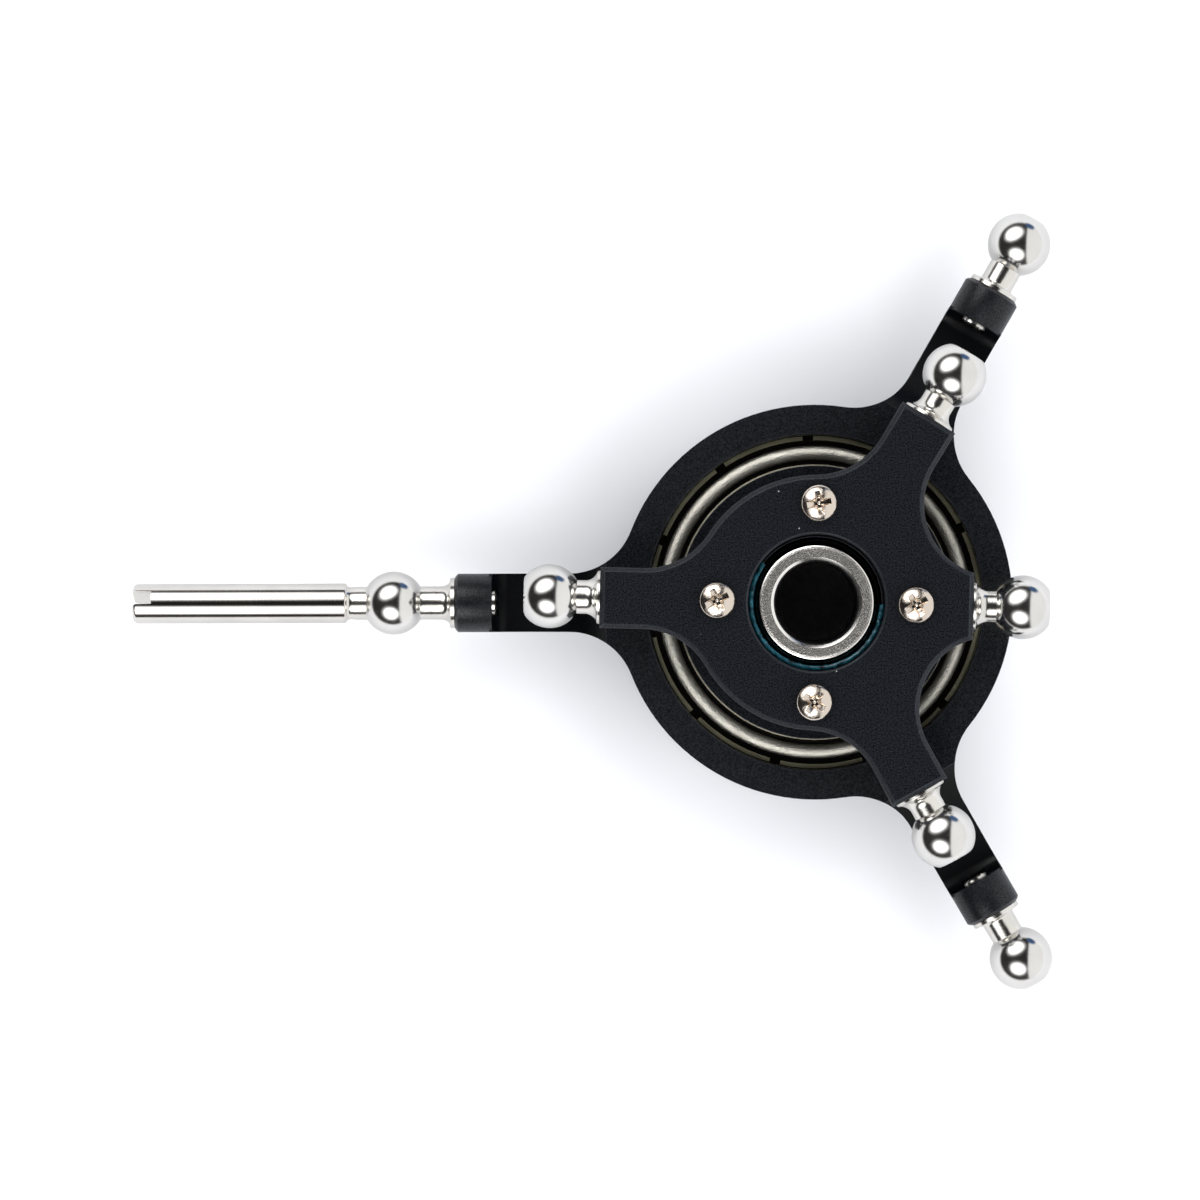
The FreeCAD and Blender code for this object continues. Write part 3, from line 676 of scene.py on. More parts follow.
@dataclass(frozen=True)
class Finishes:
    """All the finishes of the swashplate."""

    black_ring: Finish = Finish(
        "black_ring", (0.0019, 0.0029, 0.0054, 1), 0.0, (0.37, 0.44), worn_highlight=(0.045, 0.049, 0.060, 1),
        grain_scale=9500.0, grain_bump=1.0, speck=0.7, wear_and_highlight=2.5, wear_and_highlight_width=0.07, dust=0.06, level=0.21,
    )
    black_barrel: Finish = Finish(
        "black_barrel", (0.0019, 0.0029, 0.0054, 1), 0.0, (0.29, 0.36), worn_highlight=(0.045, 0.049, 0.060, 1),
        grain_scale=9500.0, grain_bump=0.8, speck=0.5, wear_and_highlight=1.5, wear_and_highlight_width=0.07, dust=0.06, level=0.37,
    )
    # Painted highlight: chamfer faces get a lighter black and strong lighter edge lines, standing in for the
    # light that the chamfers catch.
    painted_edge_highlight: Finish = Finish(
        "painted_edge_highlight", (0.007, 0.009, 0.012, 1), 0.0, (0.34, 0.42), worn_highlight=(0.085, 0.092, 0.105, 1),
        grain_scale=9500.0, grain_bump=0.6, speck=0.4, wear_and_highlight=6.0, wear_and_highlight_width=0.07, level=0.22,
    )
    # Painted shade: a darker black for the scoop floors beside the bosses, where shade falls.
    scoop_painted_shade: Finish = Finish(
        "scoop_painted_shade", (0.0009, 0.0011, 0.0016, 1), 0.0, (0.24, 0.32),
        grain_scale=6000.0, grain_bump=0.3, level=0.16,
    )
    black_star: Finish = Finish(
        "black_star", (0.0027, 0.0040, 0.0066, 1), 0.0, (0.44, 0.52), worn_highlight=(0.075, 0.082, 0.095, 1),
        grain_scale=9500.0, grain_bump=1.2, speck=0.95, wear_and_highlight=6.0, wear_and_highlight_width=0.09, dust=0.16, level=0.12,
    )
    black_hub: Finish = Finish(
        "black_hub", (0.0022, 0.0027, 0.0048, 1), 0.0, (0.34, 0.44), worn_highlight=(0.020, 0.022, 0.028, 1),
        grain_scale=6000.0, grain_bump=0.6, marks_pitch=0.05, marks_bump=0.25, wear_and_highlight=0.5,
        wear_and_highlight_width=0.05, level=0.2,
    )
    screw_steel: Finish = Finish(
        "screw_steel", (0.72, 0.64, 0.56, 1), 1.0, (0.11, 0.17),
        grain_scale=4000.0, grain_bump=0.9,
    )
    race_steel: Finish = Finish(
        "race_steel", (0.50, 0.48, 0.41, 1), 1.0, (0.16, 0.24),
        grain_bump=0.04, marks_pitch=0.04, marks_bump=0.06,
    )
    # Painted shade: dark steel for the races' flat and upright faces, the shields' groove and the mast ball's
    # side, which lie in shade.
    race_painted_shade: Finish = Finish(
        "race_painted_shade", (0.055, 0.053, 0.043, 1), 1.0, (0.12, 0.18), grain_bump=0.04,
    )
    shield_steel: Finish = Finish(
        "shield_steel", (0.66, 0.635, 0.565, 1), 1.0, (0.31, 0.38),
        grain_scale=9000.0, grain_bump=3.2, marks_pitch=0.03, marks_bump=0.25,
    )
    shield_rim: Finish = Finish(
        "shield_rim", (0.30, 0.29, 0.20, 1), 1.0, (0.30, 0.40),
        grain_bump=0.2, marks_pitch=0.03, marks_bump=0.2,
    )
    ball_steel: Finish = Finish(
        "ball_steel", (0.72, 0.71, 0.68, 1), 1.0, (0.05, 0.10), grain_bump=0.02,
    )
    cage_brass: Finish = Finish(
        "cage_brass", (0.55, 0.40, 0.17, 1), 1.0, (0.25, 0.38),
        grain_bump=0.2, marks_pitch=0.06, marks_bump=0.2,
    )
    clip_steel: Finish = Finish(
        "clip_steel", (0.035, 0.034, 0.032, 1), 0.6, (0.35, 0.5), worn_highlight=(0.2, 0.2, 0.19, 1),
        grain_scale=8000.0, grain_bump=0.4, wear_and_highlight=0.9,
    )
    seat_plastic: Finish = Finish(
        "seat_plastic", (0.0016, 0.0016, 0.002, 1), 0.0, (0.30, 0.38),
        grain_bump=0.08, marks_pitch=0.06, marks_bump=0.15, level=0.10,
    )
    mast_ball_steel: Finish = Finish(
        "mast_ball_steel", (0.55, 0.53, 0.50, 1), 1.0, (0.23, 0.29),
        grain_scale=9500.0, grain_bump=1.3, speck=0.16,
    )
    # Chamfers of the mast ball: polished, and brighter than the ball's steel as a painted highlight.
    mast_ball_edge: Finish = Finish(
        "mast_ball_edge", (0.88, 0.86, 0.83, 1), 1.0, (0.16, 0.22),
        grain_scale=9000.0, grain_bump=0.3,
    )
    neck_steel: Finish = Finish(
        "neck_steel", (0.76, 0.74, 0.70, 1), 1.0, (0.14, 0.19),
        grain_scale=7000.0, grain_bump=0.3,
    )
    # Painted shade: near-black for the mast ball's steel bore, where only shade falls.
    bore_painted_shade: Finish = Finish(
        "bore_painted_shade", (0.006, 0.006, 0.006, 1), 0.0, (0.5, 0.6), level=0.1,
    )
    grease: Finish = Finish(
        "grease", (0.002, 0.055, 0.078, 1), 0.0, (0.14, 0.26),
        grain_scale=1700.0, grain_bump=9.0, speck=0.9, coat=0.35,
    )

    def stud(self, name: str, centre: Place, heading: float) -> Finish:
        """Return the polished nickel finish of one stud, with its marks round the stud's axis."""
        return Finish(
            f"stud_steel_{name}", (0.76, 0.75, 0.73, 1), 1.0, (0.12, 0.16),
            grain_scale=5000.0, grain_bump=0.03, marks_pitch=0.045, marks_bump=0.05,
            axis=Axis.ARM, centre=centre, heading=heading,
        )

    def pin(self, centre: Place) -> Finish:
        """Return the finish of the anti-rotation pin: nickel with plainer turning marks."""
        return Finish(
            "stud_steel_pin", (0.74, 0.715, 0.68, 1), 1.0, (0.08, 0.12),
            grain_scale=6000.0, grain_bump=0.06, marks_pitch=0.06, marks_bump=0.20,
            axis=Axis.ARM, centre=centre, heading=180.0,
        )


def dress(piece: Piece, material: Material) -> None:
    """Give a piece one material and no other."""
    piece.data.materials.clear()
    piece.data.materials.append(material)


def repaint(piece: Piece, material: Material, test: Test) -> None:
    """Give some faces of a piece a further material.

    Args:
        piece: The piece.
        material: The further material.
        test: Says, from a face's centre in millimetres and its normal, whether it takes the material.
    """
    piece.data.materials.append(material)
    index = len(piece.data.materials) - 1
    for face in piece.data.polygons:
        if test(face.center / MM, face.normal):
            face.material_index = index


def mount(piece: Piece, body: str, slot: str, *nodes: str) -> None:
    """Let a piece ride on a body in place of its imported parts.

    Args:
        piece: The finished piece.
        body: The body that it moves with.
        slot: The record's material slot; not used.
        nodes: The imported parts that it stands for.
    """
    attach(piece, body)
    if nodes:
        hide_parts(*nodes)
    LOG.info("%s: %d faces on %s", piece.name, len(piece.data.polygons), body)


# ---------------------------------------------------------------- fixed half


def arm_flanks(direction: float, half: float, reach: float, fillet: float, root: float) -> list[Point]:
    """Draw one arm of a plan, from the fillet before it to the fillet after it.

    Args:
        direction: Where the arm points, in degrees.
        half: Half its width.
        reach: Where it ends.
        fillet: Radius of its two fillets.
        root: Radius of the round that it grows from.

    Returns:
        The points in order, counter-clockwise.
    """
    way = root + fillet
    turn = math.degrees(math.asin((half + fillet) / way))
    centre = (way * math.cos(math.radians(turn)), half + fillet)
    before = arc((centre[0], -centre[1]), fillet, 180.0 - turn, 90.0)
    after = arc(centre, fillet, -90.0, turn - 180.0)
    return turned([*before, (reach, -half), (reach, half), *after], direction)


def root_round(root: float, start: float, end: float) -> list[Point]:
    """Draw the round between two arms, without its end points."""
    return arc((0.0, 0.0), root, start, end, 3.0)[1:-1]


@dataclass
class FixedRing:
    """The black ring with its three scooped arms, bosses and bearing pocket."""

    radius: float = 14.75
    top: float = -1.2
    bottom: float = -6.9
    arm_half: float = 2.195
    arm_fillet: float = 4.95
    arm_bottom: float = -6.245
    arm_level: float = -4.05
    boss_radius: float = 2.2
    boss_start: float = 24.2
    boss_end: float = 26.95
    boss_edge: float = 0.2
    web_top: float = -4.4
    scoop_start: float = 15.6
    scoop_corner: float = 1.2
    scoop_side: float = 3.5
    rim_chamfer: float = 0.16
    lip_bore: float = 12.53
    pocket: float = 13.51
    race_top: float = -1.9
    race_bottom: float = -5.9
    clip_groove: float = 14.11
    stud_drill: float = 1.01
    drill_end: float = 23.8

    def build(self) -> Piece:
        """Machine the ring.

        Returns:
            The finished ring.
        """
        ring = slab("fixed_ring", self._plan(), self.arm_bottom, self.top)
        for direction in ARMS:
            work(ring, move(self._scoop_tool(), direction - 180.0))
        break_edges(ring, self.rim_chamfer, 1)
        for direction in ARMS:
            work(ring, move(self._boss(), direction - 180.0), Cut.ON)
            work(ring, move(self._stud_hole(), direction - 180.0))
        work(ring, self._tail(), Cut.ON)
        work(ring, self._bore_tool())
        smooth(ring)
        return ring

    def in_scoop(self, at: Vector, way: Vector) -> bool:
        """Tell, from a face's centre and normal, whether it lies in a scoop."""
        along = self.scoop_start - 0.3 < at.xy.length < self.boss_start - 0.01
        return along and self.arm_level - 0.95 < at.z < self.top - 0.2 and way.z > 0.2

    def on_edge(self, at: Vector, way: Vector) -> bool:
        """Tell, from a face's centre and normal, whether it is on a broken top edge."""
        return at.z > self.top - 0.2 and 0.3 < way.z < 0.95

    def on_boss(self, at: Vector, way: Vector) -> bool:
        """Tell, from a face's centre, whether it is on a boss."""
        return at.xy.length > self.boss_start - 0.01

    def _plan(self) -> list[Point]:
        """Draw the plan of the ring and its arms."""
        turn = math.degrees(math.asin((self.arm_half + self.arm_fillet) / (self.radius + self.arm_fillet)))
        points: list[Point] = []
        for direction in ARMS:
            points += arm_flanks(
                direction, self.arm_half, self.boss_start + self.boss_edge, self.arm_fillet, self.radius
            )
            points += root_round(self.radius, direction + turn, direction + 120.0 - turn)
        return points

    def _scoop_tool(self) -> Piece:
        """Set up the round cutter that hollows the -X arm before its boss."""
        run = self.boss_start - self.scoop_corner - self.scoop_start
        drop = self.top - self.web_top
        radius = (run**2 + drop**2) / (2 * drop)
        sweep = math.degrees(math.asin(run / radius))
        foot = -(self.boss_start - self.scoop_corner)
        corner = arc((foot, self.web_top + self.scoop_corner), self.scoop_corner, 180.0, 270.0, 12.0)
        floor = arc((foot, self.web_top + radius), radius, -90.0, sweep - 90.0, 3.0)
        above = self.top + 1.0
        section = [*corner, *floor[1:], (-self.scoop_start, above), (-self.boss_end, above)]
        section.append((-self.boss_end, self.web_top + self.scoop_corner))
        side = self.scoop_side
        return plate("scoop_tool", [(x, -side, z) for x, z in section], (0.0, 2 * side, 0.0))

    def _boss(self) -> Piece:
        """Turn the boss at the end of the -X arm."""
        edge, radius = self.boss_edge, self.boss_radius
        section = [
            (-self.boss_start, 0.0),
            (-self.boss_start, radius - 0.09),
            (-self.boss_start - 0.03, radius - 0.03),
            (-self.boss_start - 0.09, radius),
            (-self.boss_end + edge, radius),
            (-self.boss_end + 0.02, radius - edge + 0.02),
            (-self.boss_end, radius - edge - 0.02),
            (-self.boss_end, 0.0),
        ]
        return move(lathe("boss", section, Axis.ARM, 72), 0.0, (0, 0, self.arm_level))

    def _stud_hole(self) -> Piece:
        """Set up the drill for the stud of the -X arm."""
        foot, end = -self.drill_end, -self.boss_end - 1.0
        section = [(foot, 0.0), (foot, self.stud_drill), (end, self.stud_drill), (end, 0.0)]
        return move(lathe("drill", section, Axis.ARM, 48), 0.0, (0, 0, self.arm_level))

    def _tail(self) -> Piece:
        """Turn the plain lower part of the ring, which stands below the arms."""
        outer = self.radius - 0.004
        section = [
            (self.lip_bore, -5.0),
            (self.lip_bore, self.bottom),
            (outer - 0.25, self.bottom),
            (outer, self.bottom + 0.25),
            (outer, -5.0),
            (self.lip_bore, -5.0),
        ]
        return lathe("tail", section, steps=120)

    def _bore_tool(self) -> Piece:
        """Set up the boring tool: lip, bearing pocket and the groove of the retaining ring."""
        section = [
            (0.0, self.bottom - 1.0),
            (self.pocket + 0.25, self.bottom - 1.0),
            (self.pocket + 0.25, self.bottom),
            (self.pocket, self.bottom + 0.25),
            (self.pocket, self.bottom + 0.4),
            (self.clip_groove, self.bottom + 0.4),
            (self.clip_groove, self.race_bottom),
            (self.pocket, self.race_bottom),
            (self.pocket, self.race_top),
            (self.lip_bore, self.race_top),
            (self.lip_bore, self.top - 0.08),
            (self.lip_bore + 0.08, self.top),
            (self.lip_bore + 0.08, self.top + 1.0),
            (0.0, self.top + 1.0),
        ]
        return lathe("bore_tool", section, steps=120)


@dataclass
class RetainingRing:
    """The spring ring in its groove under the bearing."""

    outer: float = 14.1
    width: float = 1.0
    top: float = -5.9
    thickness: float = 0.6
    eye: float = 0.85
    hole: float = 0.4
    eye_angle: float = 5.5

    def build(self) -> Piece:
        """Bend and punch the ring.

        Returns:
            The finished ring.
        """
        low, inner = self.top - self.thickness, self.outer - self.width
        section = [(inner, low), (self.outer, low), (self.outer, self.top), (inner, self.top), (inner, low)]
        ring = lathe("retaining_ring", section, steps=120)
        way = inner - self.eye / 2
        for side in (1.0, -1.0):
            place = turned([(way, 0.0)], side * self.eye_angle)[0]
            work(ring, rod("eye", self.eye, low + 0.002, self.top - 0.002, place), Cut.ON)
            work(ring, rod("drill", self.hole, low - 1.0, self.top + 1.0, place))
        gap = 2 * (way * math.sin(math.radians(self.eye_angle)) - self.eye * 0.75)
        work(ring, block("saw", (6.0, gap, 3.0), (way + 1.3, 0.0, self.top)))
        break_edges(ring, 0.05, 2)
        smooth(ring)
        return ring


# ---------------------------------------------------------------- bearing


@dataclass
class ShieldedBearing:
    """The thin bearing: two races and a pressed shield on either side."""

    top: float = -1.9
    bottom: float = -5.9
    bore: float = 10.0
    step: float = 10.8
    shoulder: float = 11.05
    shield_seat: float = 12.75
    outside: float = 13.5
    groove: float = 0.98
    pitch: float = 11.75
    crown: float = 11.17
    crown_radius: float = 0.6
    band_end: float = 11.70
    sunk: float = 0.2
    notches: int = 11
    notch_start: float = 92.2

    def inner_race(self) -> Piece:
        """Grind the inner race.

        Returns:
            The race.
        """
        middle = (self.top + self.bottom) / 2
        depth = math.degrees(math.acos((self.pitch - self.shoulder) / self.groove))
        track = arc((self.pitch, middle), self.groove, 180.0 + depth, 180.0 - depth, 8.0)
        section = [
            (self.bore + 0.12, self.bottom), (self.step - 0.08, self.bottom),
            (self.step, self.bottom + 0.08), (self.step, self.bottom + 0.7),
            (self.shoulder, self.bottom + 0.7), *track,
            (self.shoulder, self.top - 0.7), (self.step - 0.28, self.top - 0.7),
            (self.step - 0.28, self.top - 0.14), (self.step - 0.49, self.top - 0.13),
            (self.step - 0.6, self.top), (self.bore + 0.12, self.top),
            (self.bore, self.top - 0.12), (self.bore, self.bottom + 0.12),
            (self.bore + 0.12, self.bottom),
        ]
        race = lathe("inner_race", section, steps=120)
        smooth(race)
        return race

    def outer_race(self) -> Piece:
        """Grind the outer race.

        Returns:
            The race.
        """
        middle = (self.top + self.bottom) / 2
        shoulder = 2 * self.pitch - self.shoulder
        depth = math.degrees(math.acos((shoulder - self.pitch) / self.groove))
        track = arc((self.pitch, middle), self.groove, depth, -depth, 8.0)
        section = [
            (self.shield_seat, self.top), (self.outside - 0.2, self.top), (self.outside, self.top - 0.2),
            (self.outside, self.bottom + 0.2), (self.outside - 0.2, self.bottom),
            (self.shield_seat, self.bottom), (self.shield_seat, self.bottom + 0.55),
            (shoulder, self.bottom + 0.55), *reversed(track),
            (shoulder, self.top - 0.55), (self.shield_seat, self.top - 0.55),
            (self.shield_seat, self.top),
        ]
        race = lathe("outer_race", section, steps=120)
        smooth(race)
        return race

    def shield(self, name: str, side: float) -> Piece:
        """Press one shield: rolled band, groove and crimped rim.

        Args:
            name: Name of the piece.
            side: 1 for the upper one and -1 for the lower one.

        Returns:
            The shield.
        """
        level = self.top if side > 0 else self.bottom
        band = arc((self.crown, -0.02 - self.crown_radius), self.crown_radius, 154.0, 26.0, 9.0)
        rim = [(11.76, -0.42), (12.08, -0.42), (12.12, -0.12), (12.17, -0.07), (12.43, -0.07),
               (12.48, -0.12), (12.50, -0.20), (12.72, -0.20)]
        lower = [(12.72, -0.54), (band[0][0], -0.54), band[0]]
        section = [(radius, level + side * depth) for radius, depth in [*band, *rim, *lower]]
        shield = lathe(name, section, steps=144)
        for index in range(self.notches):
            tool = block("notch", (0.37, 0.80, 0.66), (12.295, 0.0, level))
            work(shield, move(tool, self.notch_start + index * 360.0 / self.notches))
        smooth(shield, weighted=False)
        return shield


# ---------------------------------------------------------------- rotating half


@dataclass
class RotorStar:
    """The black star: three long arms, a lug, the ball's pocket and the bearing shoulder."""

    top: float = 3.9
    underside: float = -0.5
    hub: float = 9.45
    arm_half: float = 2.25
    arm_reach: float = 16.0
    lug_reach: float = 11.6
    fillet: float = 5.6
    scallop: float = 5.3
    chamfer: float = 0.3
    shoulder: float = 10.19
    spigot: float = 9.99
    spigot_end: float = -5.8
    pocket: float = 6.06
    mouth: float = 5.05
    seat_top: float = 2.9
    screw_circle: float = 7.35
    screw_hole: float = 0.9
    stud_drill: float = 1.01
    stud_level: float = 1.7
    arm_hole: float = 4.6
    lug_hole: float = 2.7

    def build(self) -> Piece:
        """Machine the star.

        Returns:
            The finished star.
        """
        star = slab("rotor_star_plate", self._plan(), self.underside, self.top)
        chamfer_level(star, self.top, self.chamfer)
        break_edges(star, 0.05, 2, 25.0)
        work(star, self._spigot(), Cut.ON)
        work(star, self._bore_tool())
        for index in range(4):
            place = turned([(self.screw_circle, 0.0)], 90.0 * index)[0]
            work(star, rod("drill", self.screw_hole, self.spigot_end - 1.0, self.top + 1.0, place))
        for direction in ARMS:
            work(star, move(self._stud_hole(self.arm_reach, self.arm_hole), direction))
        work(star, self._stud_hole(self.lug_reach, self.lug_hole))
        smooth(star)
        return move(star, ROTOR_PHASE)

    def _plan(self) -> list[Point]:
        """Draw the plan of the star, without its turn."""
        way = (self.arm_half + self.scallop) / math.sin(math.radians(30.0))
        centre = (way * math.cos(math.radians(30.0)), way * math.sin(math.radians(30.0)))
        lug_half = centre[1] - math.sqrt(self.scallop**2 - (centre[0] - self.lug_reach) ** 2)
        low = math.degrees(math.atan2(lug_half - centre[1], self.lug_reach - centre[0])) + 360.0
        upper = arc(centre, self.scallop, low, 150.0)
        lower = [(x, -y) for x, y in reversed(upper)]
        turn = math.degrees(math.asin((self.arm_half + self.fillet) / (self.hub + self.fillet)))
        flanks = {
            direction: arm_flanks(direction, self.arm_half, self.arm_reach, self.fillet, self.hub)
            for direction in ARMS
        }
        half = len(flanks[60.0]) // 2
        points = [*upper, *flanks[60.0][half - 1:]]
        points += root_round(self.hub, 60.0 + turn, 180.0 - turn)
        points += flanks[180.0]
        points += root_round(self.hub, 180.0 + turn, 300.0 - turn)
        points += [*flanks[300.0][: half + 1], *lower]
        return points

    def _spigot(self) -> Piece:
        """Turn the shoulder and the spigot that carry the bearing."""
        section = [
            (0.0, self.underside + 1.0), (8.0, self.underside + 1.0), (8.0, self.underside + 0.6),
            (self.hub - 0.4, self.underside + 0.6), (self.hub - 0.4, self.underside - 0.001),
            (self.shoulder, self.underside - 0.001), (self.shoulder, -1.9), (self.spigot, -1.9),
            (self.spigot, self.spigot_end + 0.15), (self.spigot - 0.15, self.spigot_end),
            (0.0, self.spigot_end),
        ]
        return lathe("spigot", section, steps=120)

    def _bore_tool(self) -> Piece:
        """Set up the boring tool of the ball's pocket and mouth."""
        section = [
            (0.0, self.spigot_end - 1.0), (self.pocket, self.spigot_end - 1.0),
            (self.pocket, self.seat_top), (self.mouth, self.seat_top),
            (self.mouth, self.top - 0.18), (self.mouth + 0.06, self.top - 0.08),
            (self.mouth + 0.18, self.top), (self.mouth + 0.18, self.top + 1.0), (0.0, self.top + 1.0),
        ]
        return lathe("bore_tool", section, steps=120)

    def _stud_hole(self, reach: float, depth: float) -> Piece:
        """Set up the drill for one stud along +X."""
        foot, end = reach - depth, reach + 1.0
        section = [(foot, 0.0), (foot, self.stud_drill), (end, self.stud_drill), (end, 0.0)]
        return move(lathe("drill", section, Axis.ARM, 48), 0.0, (0, 0, self.stud_level))


@dataclass
class ClampHub:
    """The lower hub, which clamps the inner race and holds the lower seat."""

    mouth: float = 5.05
    seat_top: float = -2.9
    opening: float = 5.7
    bottom: float = -8.4
    flange: float = 10.6
    edge: float = 0.5
    race_bottom: float = -5.9
    nose: float = 6.05
    screw_circle: float = 7.35
    screw_thread: float = 0.81

    def build(self) -> Piece:
        """Turn and drill the hub.

        Returns:
            The finished hub.
        """
        section = [
            (self.mouth, self.seat_top), (self.opening - 0.1, self.bottom + 0.25),
            (self.opening + 0.1, self.bottom), (self.flange - self.edge, self.bottom),
            (self.flange, self.bottom + self.edge), (self.flange, self.race_bottom - 0.12),
            (self.flange - 0.12, self.race_bottom), (self.nose, self.race_bottom),
            (self.nose, self.seat_top - 0.1), (self.nose - 0.1, self.seat_top), (self.mouth, self.seat_top),
        ]
        hub = lathe("clamp_hub", section, steps=120)
        for index in range(4):
            place = turned([(self.screw_circle, 0.0)], 90.0 * index)[0]
            work(hub, rod("drill", self.screw_thread, self.bottom - 1.0, self.race_bottom + 1.0, place))
            work(hub, self._countersink(place))
        smooth(hub)
        return move(hub, ROTOR_PHASE)

    def _countersink(self, place: Point) -> Piece:
        """Set up the countersink for the mouth of a threaded hole."""
        section = [(0.0, 0.0), (0.78, 0.0), (1.0, -0.2), (1.0, -1.0), (0.0, -1.0)]
        tool = lathe("countersink", section, steps=48)
        return move(tool, 0.0, (place[0], place[1], self.bottom + 0.2))


@dataclass
class ClampScrews:
    """The four pan-head screws with cross recesses."""

    circle: float = 7.35
    seat: float = 3.9
    length: float = 11.6
    radius: float = 0.8
    head: float = 1.36
    wall: float = 0.45
    height: float = 0.95
    turns: tuple[float, ...] = (34.0, 12.0, 27.0, 58.0)

    def build(self) -> list[Piece]:
        """Make one screw and copy it to the other holes.

        Returns:
            The four screws.
        """
        master = self._screw()
        screws = []
        for index, turn in enumerate(self.turns):
            screw = move(copy_of(master, f"clamp_screw_{index + 1}"), turn)
            move(screw, 0.0, (self.circle, 0.0, self.seat))
            screws.append(move(screw, 90.0 * index + ROTOR_PHASE))
        bpy.data.objects.remove(master)
        return screws

    def _screw(self) -> Piece:
        """Turn the screw and press its recess.

        Returns:
            The screw, standing on the origin.
        """
        dome = self.height - self.wall
        radius = (self.head**2 + dome**2) / (2 * dome)
        sweep = math.degrees(math.asin((self.head - 0.08) / radius))
        crown = arc((0.0, self.height - radius), radius, 90.0 - sweep, 90.0, 3.0)
        section = [
            (0.0, -self.length), (self.radius - 0.2, -self.length), (self.radius, -self.length + 0.2),
            (self.radius, 0.0), (self.head - 0.06, 0.0), (self.head, 0.06),
            (self.head, self.wall - 0.12), (self.head - 0.03, self.wall - 0.04), *crown,
        ]
        screw = lathe("clamp_screw", section, steps=72)
        for turn in (0.0, 90.0):
            work(screw, self._wing(turn))
        work(screw, self._centre())
        break_edges(screw, 0.025, 2, 40.0)
        smooth(screw, 40.0)
        return screw

    def _wing(self, turn: float) -> Piece:
        """Set up one tapered wing of the cross punch."""
        middle = self.height - 0.35
        tool = block("wing", (2.4, 0.55, 0.8), (0.0, 0.0, middle))
        pick_edges(tool, lambda a, b: a.z < middle and b.z < middle)
        bpy.ops.transform.resize(value=(0.3, 0.45, 1.0), center_override=(0, 0, 0))
        bpy.ops.object.mode_set(mode="OBJECT")
        return move(tool, turn, (0.0, 0.0, 0.02))

    def _centre(self) -> Piece:
        """Set up the round, pointed middle of the cross punch."""
        section = [(0.0, 0.12), (0.26, 0.34), (0.52, 1.0), (0.0, 1.0)]
        return lathe("punch", section, steps=24)


# ---------------------------------------------------------------- studs


